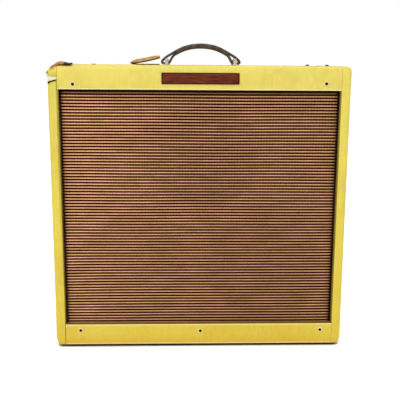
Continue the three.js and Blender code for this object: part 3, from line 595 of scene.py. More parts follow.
class Bench:
    """A bmesh being shaped, in metres, before it becomes one piece of the amplifier."""

    def __init__(self) -> None:
        """Starts with nothing on the bench."""
        self.mesh = bmesh.new()

    def box(self, low: Point, high: Point, matrix: Matrix = Matrix()) -> list:
        """Adds a box between two corners.

        Args:
            low: Lowest corner.
            high: Highest corner.
            matrix: Turns and moves the box afterwards.

        Returns:
            Its vertices.
        """
        low, high = Vector(low), Vector(high)
        size = Matrix.Diagonal((*(high - low), 1))
        placed = matrix @ Matrix.Translation((low + high) / 2) @ size
        return bmesh.ops.create_cube(self.mesh, size=1, matrix=placed)["verts"]

    def turn(self, profile: Sequence[Pair], matrix: Matrix = Matrix(), steps: int = 32) -> list:
        """Spins a profile into a round piece.

        Args:
            profile: (radius, height) points in millimetres, spun round +Z.
            matrix: Turns and moves the piece afterwards.
            steps: Faces round the piece.

        Returns:
            Its vertices.
        """
        before = set(self.mesh.verts)
        verts = [self.mesh.verts.new((radius * MM, 0, height * MM)) for radius, height in profile]
        edges = [self.mesh.edges.new(ends) for ends in zip(verts, verts[1:])]
        spun = {"cent": (0, 0, 0), "axis": (0, 0, 1), "angle": TURN, "steps": steps, "use_merge": True}
        bmesh.ops.spin(self.mesh, geom=verts + edges, **spun)
        fresh = [vert for vert in self.mesh.verts if vert not in before]
        bmesh.ops.remove_doubles(self.mesh, verts=fresh, dist=1e-6)
        fresh = [vert for vert in self.mesh.verts if vert not in before]
        return self.place(fresh, matrix)

    def ball(self, at: Point, size: Point, matrix: Matrix = Matrix(), around: int = 8) -> None:
        """Adds an egg of a given size, for a stitch, rivet or solder blob."""
        placed = matrix @ Matrix.Translation(at) @ Matrix.Diagonal((*size, 1))
        bmesh.ops.create_uvsphere(self.mesh, u_segments=around, v_segments=5, radius=0.5, matrix=placed)

    def loft(self, stations: Sequence[Matrix], sides: int, square: float) -> None:
        """Joins a row of rounded sections into one body.

        Args:
            stations: A matrix for each section; its X and Y columns are the section's half sizes.
            sides: Vertices round a section.
            square: 1 gives an oval section, less gives a squarer one.
        """
        rings = []
        for station in stations:
            ring = bmesh.ops.create_circle(self.mesh, radius=1, segments=sides)["verts"]
            for vert in ring:
                x, y = vert.co.x, vert.co.y
                vert.co.x = math.copysign(abs(x) ** square, x)
                vert.co.y = math.copysign(abs(y) ** square, y)
            rings.append(self.place(ring, station))
        edges = [self.ring_edges(ring) for ring in rings]
        for near, far in zip(edges, edges[1:]):
            bmesh.ops.bridge_loops(self.mesh, edges=near + far)
        for ring in (edges[0], edges[-1]):
            bmesh.ops.edgeloop_fill(self.mesh, edges=ring)

    @staticmethod
    def ring_edges(ring: Iterable) -> list:
        """The edges that join a ring's own vertices."""
        members = set(ring)
        return list({edge for vert in ring for edge in vert.link_edges if members.issuperset(edge.verts)})

    @staticmethod
    def place(verts: list, matrix: Matrix) -> list:
        """Moves vertices by a matrix and returns them."""
        for vert in verts:
            vert.co = matrix @ vert.co
        return verts

    def edges_where(self, test: Callable[[Vector], bool]) -> list:
        """The edges whose ends both pass a test."""
        return [edge for edge in self.mesh.edges if all(test(vert.co) for vert in edge.verts)]

    def sharp_edges(self, degrees: float) -> list:
        """The edges folded by more than an angle."""
        folded = [edge for edge in self.mesh.edges if len(edge.link_faces) == 2]
        return [edge for edge in folded if edge.calc_face_angle(0) > math.radians(degrees)]

    def bevel(self, edges: Iterable, width: float, segments: int = 3, clamp: bool = True) -> None:
        """Rounds edges.

        Args:
            edges: The edges to round.
            width: Radius in metres.
            segments: Faces across the rounding.
            clamp: Whether the radius gives way where edges are short.
        """
        round_off = {"affect": "EDGES", "offset_type": "OFFSET", "profile": 0.5, "material": -1}
        sizes = {"offset": width, "segments": segments, "clamp_overlap": clamp}
        bmesh.ops.bevel(self.mesh, geom=list(edges), **round_off, **sizes)

    def soft_box(self, low: Point, high: Point, radius: float, matrix: Matrix = Matrix()) -> None:
        """Adds a box with every edge rounded."""
        verts = self.box(low, high, matrix)
        self.bevel({edge for vert in verts for edge in vert.link_edges}, radius)

    def slice(self, place: Point, away: Point, saw: bool = False) -> None:
        """Scores a line right round the mesh along a plane.

        Args:
            place: A point of the plane.
            away: Its normal.
            saw: Whether to cut off everything beyond it and close the solid.
        """
        geom = [*self.mesh.verts, *self.mesh.edges, *self.mesh.faces]
        plane = {"dist": 1e-6, "plane_co": place, "plane_no": away}
        cut = bmesh.ops.bisect_plane(self.mesh, geom=geom, clear_outer=saw, **plane)
        if saw:
            bmesh.ops.holes_fill(self.mesh, edges=only(BMEdge, cut["geom_cut"]), sides=0)

    def number(self, text: str, size: float, matrix: Matrix) -> None:
        """Adds a dial number standing just proud of a level surface.

        Args:
            text: The number.
            size: Height of its characters.
            matrix: Where its middle goes.
        """
        curve = bpy.data.curves.new("number", "FONT")
        curve.body = text
        curve.size = size
        curve.extrude = 0.08 * MM
        curve.align_x, curve.align_y = "CENTER", "CENTER"
        curve.resolution_u = 2
        shown = bpy.data.objects.new("number", curve)
        data = bpy.data.meshes.new_from_object(shown)
        before = set(self.mesh.verts)
        self.mesh.from_mesh(data)
        self.place([vert for vert in self.mesh.verts if vert not in before], matrix)
        bpy.data.objects.remove(shown)
        bpy.data.curves.remove(curve)
        bpy.data.meshes.remove(data)

    def piece(
        self,
        name: str,
        *finishes: Finish,
        slot: str,
        body: str = "root",
        stands_for: Sequence[str] = (),
        crease: float = 38.0,
        outward: bool = True,
    ) -> bpy.types.Object:
        """Takes the mesh off the bench as a finished piece.

        Args:
            name: The piece's name.
            finishes: What its faces are made of, by number.
            slot: The record's material slot that it belongs to; not used.
            body: The CAD body that it rides on.
            stands_for: CAD nodes that it replaces.
            crease: Edges sharper than this angle stay crisp.
            outward: Whether to turn all faces outward first.

        Returns:
            The piece.
        """
        if outward:
            bmesh.ops.recalc_face_normals(self.mesh, faces=self.mesh.faces)
        for face in self.mesh.faces:
            face.smooth = True
        for edge in self.mesh.edges:
            edge.smooth = len(edge.link_faces) != 2 or edge.calc_face_angle(0) < math.radians(crease)
        data = bpy.data.meshes.new(name)
        self.mesh.to_mesh(data)
        self.mesh.free()
        for finish in finishes:
            data.materials.append(finish.material())
        made = show(name, data)
        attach(made, body)
        if stands_for:
            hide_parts(*stands_for)
        log.info("%s: %d faces", name, len(data.polygons))
        return made


def thicken(piece: bpy.types.Object, thickness: float, offset: float = -1.0) -> None:
    """Gives a sheet its thickness."""
    wall = piece.modifiers.new("thickness", "SOLIDIFY")
    wall.thickness = thickness
    wall.offset = offset


def rod(radius: float, low: float, high: float) -> list[Pair]:
    """The profile of a solid rod, in millimetres."""
    return [(0, low), (radius, low), (radius, high), (0, high)]


def band(bore: float, radius: float, low: float, high: float) -> list[Pair]:
    """The profile of a washer or tube, in millimetres."""
    return [(bore, low), (radius, low), (radius, high), (bore, high), (bore, low)]


def slotted_head(bench: Bench, matrix: Matrix, radius: float, height: float, turned: float = 0.0) -> None:
    """Adds a domed screw head with a cut slot, standing up +Z before it is placed.

    Args:
        bench: Where it is made.
        matrix: Where the head goes.
        radius: Of the head, in millimetres.
        height: Of the dome, in millimetres.
        turned: Which way the slot lies, in radians.
    """
    slot = 0.16 * radius
    spin = matrix @ Matrix.Rotation(turned, 4, "Z")
    for side in (0, math.pi):
        before = set(bench.mesh.verts)
        dome = [(0, height), (0.55 * radius, 0.86 * height), (0.88 * radius, 0.42 * height), (radius, 0)]
        half = bench.turn([*dome, (0, 0)], steps=20)
        around = {item for vert in half for item in (*vert.link_edges, *vert.link_faces)}
        plane = {"dist": 1e-7, "plane_co": (slot * MM, 0, 0), "plane_no": (-1, 0, 0)}
        cut = bmesh.ops.bisect_plane(bench.mesh, geom=[*half, *around], clear_outer=True, **plane)
        bmesh.ops.holes_fill(bench.mesh, edges=only(BMEdge, cut["geom_cut"]), sides=0)
        fresh = [vert for vert in bench.mesh.verts if vert not in before]
        bench.place(fresh, spin @ Matrix.Rotation(side, 4, "Z"))
    bench.box((-slot * MM, -0.9 * radius * MM, 0), (slot * MM, 0.9 * radius * MM, 0.45 * height * MM), spin)


# ---- the covered case
@dataclass
class Case:
    """Pine boards under one sleeve of tweed, with the corner that was knocked and torn."""

    wrap: float = 19.1 * MM  # how far the cloth turns in over a board's edge
    rounding: float = 9.5 * MM
    sole_rounding: float = 3.2 * MM
    lip: float = 14.0 * MM  # cloth turned in behind the front edges
    cloth: float = 0.8 * MM
    proud: float = 0.7 * MM  # the cloth stands this far before the rails
    rail_depth: float = 12.3 * MM
    tear_low: float = 519 * MM
    tear_high: float = 530 * MM
    tear_slopes: Pair = (0.22, -0.12)  # of the tear's lower and upper lips
    crushed: Pair = (9 * MM, 12.4 * MM)  # how far the foot corners and the torn one are knocked in
    crush_depth: float = 40 * MM
    bolts: Sequence[Pair] = ((-208, 1.3), (214, 2.6), (253, 2.6))  # where each stands, and half its height
    bolt_row: float = -25  # how far forward they stand, in millimetres as their places are
    well_front: float = field(default_factory=lambda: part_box("top_board")[1][1])

    def build(self) -> None:
        """Builds and covers the case."""
        self.boards()
        self.sleeve()
        self.torn_corner()
        self.chassis_bolts()

    @property
    def inner(self) -> float:
        """Half the width between the side boards."""
        return CASE_HIGH.x - self.wrap

    def wedge(self, bench: Bench, inset: float, front: float) -> None:
        """Adds the case's solid outline, its front leaning back.

        Args:
            bench: Where it is made.
            inset: How far every face but the front stands in.
            front: Depth of the front plane behind the case's face.
        """
        low, high = CASE_LOW + Vector((inset,) * 3), CASE_HIGH - Vector((inset,) * 3)
        for vert in bench.box(low, high):
            if vert.co.y < 0:
                up = vert.co.z - CASE_LOW.z
                vert.co.y = CASE_LOW.y + up * math.tan(LEAN) + front / math.cos(LEAN)

    def boards(self) -> None:
        """The four pine boards, rounded where the cloth goes over them."""
        shape = 1.2 * MM
        thick = self.wrap - shape - 0.4 * MM
        spans = {
            "left_side": (PINE_UPRIGHT, Vector((-1, 0, 0)), -CASE_HIGH.x + shape + thick, None),
            "right_side": (PINE_UPRIGHT, Vector((1, 0, 0)), CASE_HIGH.x - shape - thick, None),
            "top_board": (PINE_LEVEL, Vector((0, 0, 1)), TOP - shape - thick, self.well_front),
            "bottom_board": (PINE_LEVEL, Vector((0, 0, -1)), CASE_LOW.z + shape + thick, None),
        }
        for name, (finish, outward, at, rear) in spans.items():
            bench = Bench()
            level = abs(outward.z) > 0
            self.wedge(bench, shape, self.rail_depth if level else 0.6 * MM)
            upper = [e for e in bench.mesh.edges if max(v.co.z for v in e.verts) > 0.1]
            bench.bevel(upper, self.rounding - shape, 4)
            cuts = [(outward * abs(at) if not level else Vector((0, 0, at)), -outward)]
            if rear is not None:
                cuts.append(((0, rear, 0), (0, 1, 0)))
            if level:
                inner = self.inner + 0.2 * MM
                cuts += [((side * inner, 0, 0), (side, 0, 0)) for side in (-1, 1)]
            for place, away in cuts:
                bench.slice(place, away, saw=True)
            self.knock(bench)
            bench.piece(name + "_pine", finish, stands_for=[name], slot="pine")

    def sleeve(self) -> None:
        """The cloth: outside faces, the turned-in edges and the cut round the control well."""
        bench = Bench()
        self.wedge(bench, 0.0, -self.proud)
        front_normal = FRONT.to_3x3() @ Vector((0, 1, 0))
        behind_rail = FRONT @ Vector((0, self.rail_depth, 0))
        floor = CASE_LOW.z + self.wrap
        for side in (-1, 1):
            bench.slice((side * self.inner, 0, 0), (1, 0, 0))
        bench.slice(behind_rail, front_normal)
        bench.slice((0, self.well_front, 0), (0, 1, 0))
        bench.slice((0, 0, floor), (0, 0, 1))
        doomed = []
        for face in bench.mesh.faces:
            at = face.calc_center_median()
            if abs(at.x) > self.inner:
                continue
            before_rail = (at - behind_rail).dot(front_normal) < -TOUCH
            on_back = at.y > CASE_HIGH.y - TOUCH and at.z > floor
            in_well = at.z > TOP - TOUCH and at.y > self.well_front
            if before_rail or on_back or in_well:
                doomed.append(face)
        bmesh.ops.delete(bench.mesh, geom=doomed, context="FACES")
        self.turn_in(bench, floor)
        outer = [e for e in bench.mesh.edges if self.is_outer_edge(*(v.co for v in e.verts))]
        upper = [e for e in outer if max(v.co.z for v in e.verts) > CASE_LOW.z + 1 * MM]
        bench.bevel(upper, self.rounding, 5, clamp=False)
        sole = [e for e in bench.sharp_edges(60) if max(v.co.z for v in e.verts) < CASE_LOW.z + TOUCH]
        bench.bevel(sole, self.sole_rounding, 3, clamp=False)
        rims = [e for e in bench.sharp_edges(60) if self.is_rim(e)]
        bench.bevel(rims, 1.6 * MM, 2)
        self.tear(bench)
        spare = self.crushed[0] + 5 * MM  # the flat walls are scored, so that the crushed corners stay small
        bench.slice((0, 0, CASE_LOW.z + spare), (0, 0, 1))
        for side in (-1, 1):
            bench.slice((side * (CASE_HIGH.x - spare), 0, 0), (1, 0, 0))
        self.knock(bench)
        cover = {"stands_for": ["tweed_cover"], "slot": "tweed"}
        sleeve = bench.piece("tweed_sleeve", SHELL_TWEED, outward=False, **cover)
        thicken(sleeve, self.cloth)

    def turn_in(self, bench: Bench, floor: float) -> None:
        """Turns the cloth in at the front edges, the rear edges and the rim of the well.

        Args:
            bench: The sleeve, cut open.
            floor: Height of the bottom board's upper face.
        """
        inner = self.inner + TOUCH
        back, top, well = CASE_HIGH.y - TOUCH, TOP - TOUCH, self.well_front - TOUCH
        inward = FRONT.to_3x3() @ Vector((0, self.lip, 0))
        forward = Vector((0, -self.lip, 0))
        down = Vector((0, 0, -(self.wrap - 0.6 * MM)))
        folds = [
            (lambda p: self.on_side(p) and self.before_rail(p), inward),
            (lambda p: self.on_side(p) and p.y > back and p.z > floor - TOUCH, forward),
            (lambda p: abs(p.x) < inner and p.y > back and abs(p.z - floor) < TOUCH, forward),
            (lambda p: abs(p.x) < inner and p.y > well and p.z > top, down),
        ]
        for test, move in folds:
            rim = [e for e in bench.edges_where(test) if e.is_boundary]
            made = bmesh.ops.extrude_edge_only(bench.mesh, edges=rim)["geom"]
            bmesh.ops.translate(bench.mesh, verts=only(BMVert, made), vec=move)
        bmesh.ops.remove_doubles(bench.mesh, verts=bench.mesh.verts, dist=TOUCH)

    def on_side(self, point: Vector) -> bool:
        """Whether a point lies on the inner face of a side board."""
        return abs(abs(point.x) - self.inner) < TOUCH

    def before_rail(self, point: Vector) -> bool:
        """Whether a point lies on the front plane."""
        return abs((ONTO_FRONT @ point).y + self.proud) < TOUCH

    def is_outer_edge(self, a: Vector, b: Vector) -> bool:
        """Whether an edge is one of the twelve outer edges of the case, where it still has cloth."""
        limits = [(axis, corner[axis]) for axis in (0, 2) for corner in (CASE_LOW, CASE_HIGH)]
        limits.append((1, CASE_HIGH.y))
        walls = sum(abs(a[axis] - limit) < TOUCH and abs(b[axis] - limit) < TOUCH for axis, limit in limits)
        return walls + (self.before_rail(a) and self.before_rail(b)) >= 2

    def is_rim(self, edge: BMEdge) -> bool:
        """Whether an edge is where the cloth turns in."""
        ends = [vert.co for vert in edge.verts]
        in_well = all(end.z > TOP - TOUCH and abs(end.x) < self.inner + TOUCH for end in ends)
        return in_well or all(self.on_side(end) for end in ends)

    def tear(self, bench: Bench) -> None:
        """Tears a ragged strip of cloth off the left front edge and lifts what is above it."""
        ragged = random.Random(7)
        low_slope, high_slope = self.tear_slopes
        for height, slope in ((self.tear_low, low_slope), (self.tear_high, high_slope)):
            bench.slice((CASE_LOW.x, CASE_LOW.y, height), (-slope, 0, 1))
        deep = CASE_LOW.y + (self.tear_low - CASE_LOW.z) * math.tan(LEAN) + 30 * MM
        bench.slice((0, deep, 0), (0, 1, -0.3))
        gone = []
        for face in bench.mesh.faces:
            at = face.calc_center_median()
            low = self.tear_low + low_slope * (at.x - CASE_LOW.x)
            high = self.tear_high + high_slope * (at.x - CASE_LOW.x)
            if at.x < -self.inner - 0.2 * MM and low < at.z < high and at.y < deep + 4 * MM:
                gone.append(face)
        bmesh.ops.delete(bench.mesh, geom=gone, context="FACES")
        below, above, right, rear = TOP - 50 * MM, TOP - 10 * MM, -self.inner + 1e-4, deep + 6 * MM
        torn = bench.edges_where(lambda p: p.x < right and p.y < rear and below < p.z < above)
        torn = [e for e in torn if e.is_boundary]
        bmesh.ops.subdivide_edges(bench.mesh, edges=torn, cuts=5)
        rim = {v for e in bench.mesh.edges if e.is_boundary for v in e.verts}
        rim = [v for v in rim if v.co.x < -self.inner and v.co.z > below]
        for vert in sorted(rim, key=lambda v: tuple(v.co)):
            vert.co.z += ragged.uniform(-0.7, 0.7) * MM
        tip = FRONT @ Vector((CASE_LOW.x, 4 * MM, up_slope(self.tear_high)))
        reach, bulge = 26 * MM, 1.6 * MM
        for vert in bench.mesh.verts:
            gap = (vert.co - tip).length
            if vert.co.z > self.tear_high - 4 * MM and gap < reach:
                vert.co.x -= bulge * (1 - gap / reach) ** 2

    def knock(self, bench: Bench) -> None:
        """Crushes three front corners along slanting planes, less and less towards the back."""
        foot, torn = self.crushed
        rubbed = CASE_LOW.z + foot
        slants = (
            (CASE_LOW.x, TOP - torn, Vector((-1, 0, 1))),
            (CASE_LOW.x, rubbed, Vector((-1, 0, -1))),
            (CASE_HIGH.x, rubbed, Vector((1, 0, -1))),
        )
        for x, height, slant in slants:
            away, crushed = slant.normalized(), Vector((x, 0, height))
            for vert in bench.mesh.verts:
                beyond = (vert.co - crushed).dot(away)
                if beyond > 0:
                    deep = max(0.0, (ONTO_FRONT @ vert.co).y)
                    vert.co -= away * beyond * 0.85 * max(0.0, 1 - deep / self.crush_depth)

    def torn_corner(self) -> None:
        """Pale bare wood under the tear, and the stiff curls of cloth that stand off the corner."""
        bench = Bench()
        low_up = up_slope(self.tear_low) - 8 * MM
        high_up = up_slope(self.tear_high) + 4 * MM
        bench.box((CASE_LOW.x + 0.5 * MM, -0.1 * MM, low_up), (-self.inner - 0.3 * MM, 34 * MM, high_up), FRONT)
        left = CASE_LOW.x + 1 * MM
        bench.bevel(bench.edges_where(lambda p: p.x < left and (ONTO_FRONT @ p).y < 1 * MM), 9 * MM, 5)
        bench.piece("bare_corner_wood", BARE_PINE, slot="pine")
        self.flap()
        self.torn_edge()

    def flap(self) -> None:
        """The stiff torn cloth that stands off the corner, from the left side up over the top."""
        ragged = random.Random(11)
        # Across from the case's left side and up from the floor, in millimetres.
        outline = (
            (-0.6, 534), (0.6, 536.5), (4.6, 540.6), (10.6, 546.6), (17, 551), (24.3, 553), (31.7, 552.2),
            (39, 551.2), (46.5, 551.4),
        )
        outline = [(CASE_LOW.x / MM + x, z - TOP / MM) for x, z in outline]
        stations = through(outline, 5)
        bench = Bench()
        half = 13 * MM
        last = len(stations) - 1
        depth = (FRONT @ Vector((0, 0, up_slope(TOP)))).y + half
        sections = []
        for i, (at, way) in enumerate(stations):
            humped = math.sin(math.pi * min(1.0, (i + 1.5) / last))
            narrow = half * (0.35 + 0.65 * humped ** 0.5)
            wave = ragged.uniform(-0.5, 0.5) * MM
            thick = (0.9 + 1.1 * humped ** 2) * MM
            sections.append(Strap.station(at, way, (wave, depth - half + narrow), (narrow, thick), 0.12))
        bench.loft(sections, sides=18, square=0.3)
        for face in bench.mesh.faces:
            face.material_index = int(face.calc_center_median().x > CASE_LOW.x + 32 * MM)
        bench.piece("torn_cloth_flap", TWEED_BACK, FLESH_SIDE, slot="tweed")
        bench = Bench()
        for x, z in ((0.2, 535.4), (46.6, 551.9)):
            at = (CASE_LOW.x + x * MM, depth - half + 5 * MM, z * MM)
            bench.ball(at, mm(3.6, 9, 3.4), around=10)
        bench.piece("frayed_ends", FLESH_SIDE, slot="tweed")

    def chassis_bolts(self) -> None:
        """The low dark heads of the bolts that come up through the top."""
        bench = Bench()
        wide = 8.8 * MM
        for x, high in self.bolts:
            bench.ball((x * MM, self.bolt_row * MM, TOP + 0.3 * MM), (wide, wide, 2 * high * MM), around=16)
        bench.piece("chassis_bolt_heads", DARK_STEEL, slot="dark_steel")

    def torn_edge(self) -> None:
        """The dark torn edge of the cloth below the bare patch."""
        bench = Bench()
        ends = [(CASE_LOW.x / MM + 2.4, 517.2), (CASE_LOW.x / MM + 8, 519.4), (CASE_LOW.x / MM + 17.5, 521.6)]
        stations = through([(x, z - TOP / MM) for x, z in ends], 8)
        front = (FRONT @ Vector((0, 0, up_slope(self.tear_low)))).y
        half = (5 * MM, 1.5 * MM)
        bench.loft([Strap.station(at, way, (0, front + 3.4 * MM), half) for at, way in stations], 12, 0.6)
        bench.piece("torn_cloth_edge", FLESH_SIDE, slot="tweed")


@dataclass
class Rail:
    """A covered plywood rail across the front between the side boards."""

    node: str
    screws: Sequence[str]
    overhang: float = 0.35 * MM
    rounding: float = 9.5 * MM
    sole_rounding: float = 3.2 * MM
    soft: float = 1.4 * MM
    split: float = 0.8 * MM  # the lower rail stands this far short, above and at its left end

    def build(self) -> None:
        """Builds the rail, rounded along its outer edge as the case is, and softly at its other edges."""
        low, high = corners(self.node)
        upper = low.z > TOP / 2
        if upper:
            bottom, top = up_slope(low.z) + 0.1 * MM, up_slope(TOP)
            outside, radius, split = top, self.rounding, 0.0
        else:
            bottom, top = 0.0, up_slope(high.z) - self.split
            outside, radius, split = bottom, self.sole_rounding, self.split
        bench = Bench()
        snug = 0.1 * MM
        bench.box((low.x - snug + split, -self.overhang, bottom), (high.x + snug, 12 * MM, top), FRONT)
        rim = bench.edges_where(lambda p: abs((ONTO_FRONT @ p).z - outside) < TOUCH and (ONTO_FRONT @ p).y < 0)
        bench.bevel(rim, radius, 6)
        sharp = bench.sharp_edges(60)
        bench.bevel([e for e in sharp if all((ONTO_FRONT @ v.co).y < 1 * MM for v in e.verts)], self.soft, 3)
        # The faces of the lower rail's upper ledge, behind its soft front edge, take the darker ledge finish.
        for face in bench.mesh.faces:
            at = ONTO_FRONT @ face.calc_center_median()
            face.material_index = int(not upper and at.z > top - 0.1 * MM and at.y > self.soft)
        # The painted highlight lines: along the valance's lower edge, and along the rail's top edge and its
        # foot.
        crest = CASE_LOW.z + top * math.cos(LEAN) - 1.3 * MM
        worn = (low.z + 1 * MM,) if upper else (crest, CASE_LOW.z + 2.5 * MM)
        cloth = replace(TWEED, name=f"{self.node}_tweed", highlit_edge_heights=worn)
        bench.piece(self.node + "_covered", cloth, DARK_LEDGE_TWEED, stands_for=[self.node], slot="tweed")
        for screw in self.screws:
            self.screw(screw)

    def screw(self, name: str) -> None:
        """A rusted slotted screw sunk in a worn, pale-rimmed cup of cloth."""
        node = f"front_screw_{name}"
        local = ONTO_FRONT @ middle(node)
        forward = Matrix.Rotation(math.pi / 2, 4, "X")
        at = FRONT @ Matrix.Translation((local.x, -self.overhang, local.z)) @ forward
        bench = Bench()
        bench.turn([(2.9, -0.4), (3.2, 0.5), (3.9, 0.75), (4.7, 0.3), (5.0, -0.4)], at, 24)
        bench.piece(f"screw_cup_{name}", RUBBED_CLOTH, slot="tweed")
        bench = Bench()
        slotted_head(bench, at @ shift(0, 0, -0.2), 3.1, 1.5, turned=len(name) * 0.9)
        bench.turn([(0, -22), (1.1, -19), (1.9, -16), (1.9, 0)], at, 12)
        bench.piece(f"{node}_head", RUSTED_SCREW, stands_for=[node], slot="dark_steel")


# ---- the grille and the plate
@dataclass
class Grille:
    """Ribbed cloth stretched over the baffle: a real cord at every stripe."""

    pitch: float = 5.83 * MM
    relief: float = 0.55 * MM
    first_cord: float = 48.0 * MM  # height up the slope of the lowest cord that shows
    columns: int = 36
    rows_per_cord: int = 6

    def build(self) -> None:
        """Weaves the cloth and maps it in metres."""
        low, high = corners("grille_cloth")
        bottom, top = up_slope(low.z) + 1 * MM, up_slope(high.z)
        depth = (ONTO_FRONT @ middle("grille_cloth")).y
        half = high.x - 0.3 * MM
        rows = round((top - bottom) / self.pitch * self.rows_per_cord)
        bench = Bench()
        bmesh.ops.create_grid(bench.mesh, x_segments=self.columns, y_segments=rows, size=0.5)
        flat = bench.mesh.loops.layers.uv.new(STRIPED_CLOTH_MAP)
        for vert in bench.mesh.verts:
            x, up = vert.co.x * 2 * half, bottom + (vert.co.y + 0.5) * (top - bottom)
            cord = math.cos((up - self.first_cord) / self.pitch * TURN)
            vert.co = Vector((x, up + self.wander(x, up), depth - self.relief / 2 * cord))
        for face in bench.mesh.faces:
            for loop in face.loops:
                x, up = loop.vert.co.x, loop.vert.co.y
                loop[flat].uv = (x, up - self.wander(x, up))
        swap = Matrix(((1, 0, 0, 0), (0, 0, 1, 0), (0, 1, 0, 0), (0, 0, 0, 1)))
        bench.place(list(bench.mesh.verts), FRONT @ swap)
        cones = [ONTO_FRONT @ middle(f"speaker_frame_{name}") for name in SPEAKERS]
        opening = {"top": up_slope(corners("front_valance")[0].z), "half_width": half}
        cords = {"pitch": self.pitch, "rise": self.first_cord, "cones": tuple((at.x, at.z) for at in cones)}
        cloth = RibbedCloth("ribbed_grille_cloth", "EDB08A", "400600", 0.9, specular=0.04, **cords, **opening)
        node = "grille_cloth"
        grille = bench.piece(node + "_ribbed", cloth, stands_for=[node], slot=node, crease=180)
        thicken(grille, 0.7 * MM, 1.0)

    @staticmethod
    def wander(x: float, up: float) -> float:
        """How far a cord has strayed up or down where it was stretched unevenly."""
        return noise.noise(Vector((x * 6, up * 9, 0.7))) * 0.8 * MM


@dataclass
class Plate:
    """The plain plate on the valance: a streaked enamel field in a raised rim painted near black as its shadow,
    with no lettering.
    """

    rim: float = 1.5 * MM
    thick: float = 1.6 * MM

    def build(self) -> None:
        """Builds the plate, its rim and its two pins."""
        low, high = corners("name_plate")
        centre = ONTO_FRONT @ middle("name_plate")
        half_width = (high.x - low.x) / 2
        half_height = (high.z - low.z) / (2 * math.cos(LEAN))
        bench = Bench()
        near = (-half_width, -self.thick - 0.4 * MM, centre.z - half_height)
        bench.box(near, (half_width, 0, centre.z + half_height))
        front = next(face for face in bench.mesh.faces if face.normal.y < -0.9)
        for thickness, depth in ((self.rim, 0), (0.35 * MM, -0.5 * MM)):
            inset = {"thickness": thickness, "depth": depth, "use_even_offset": True}
            bmesh.ops.inset_region(bench.mesh, faces=[front], **inset)
        front.material_index = 1
        lengths = [(edge, edge.verts[0].co - edge.verts[1].co) for edge in bench.mesh.edges]
        bench.bevel([edge for edge, gap in lengths if abs(gap.x) < 1e-6 and abs(gap.z) < 1e-6], 1.5 * MM, 3)
        bench.bevel(bench.sharp_edges(70), 0.25 * MM, 2)
        bench.place(list(bench.mesh.verts), FRONT)
        bench.piece("plain_plate", PLATE_RIM_SHADED, PLATE_ENAMEL, stands_for=["name_plate"], slot="plate")
        bench = Bench()
        for side in (-1, 1):
            at = (side * (half_width - 4.5 * MM), -self.thick - 0.1 * MM, centre.z)
            bench.ball(at, mm(1.9, 1.2, 1.9), FRONT, around=12)
        bench.piece("plate_pins", DARK_STEEL, slot="dark_steel")


# ---- handle and tag
class Strap:
    """Sections across a strap that runs in the XZ plane."""

    @staticmethod
    def station(at: Vector, way: Vector, centre: Pair, half: Pair, roll: float = 0.0) -> Matrix:
        """The matrix of one section across a strap.

        Args:
            at: Where the section is, in millimetres across and above the case's top.
            way: The strap's direction there.
            centre: X and Y that the strap is set out from, in metres.
            half: Half its width and half its thickness, in metres.
            roll: How far it is rolled about its own length, in radians.

        Returns:
            The section's matrix, with Z along the strap.
        """
        across = Matrix.Rotation(roll, 3, way) @ Vector((0, 1, 0))
        up = way.cross(across)
        matrix = Matrix((across * half[0], up * half[1], way * MM)).transposed().to_4x4()
        matrix.translation = Vector((centre[0] + at.x * MM, centre[1], TOP + at.z * MM))
        return matrix

    @classmethod
    def stitch_place(cls, at: Vector, way: Vector, centre: Pair, roll: float = 0.0) -> Matrix:
        """An unscaled matrix at a section, for stitches."""
        return cls.station(at, way, centre, (1.0, 1.0), roll) @ Matrix.Diagonal((1, 1, 1 / MM, 1))


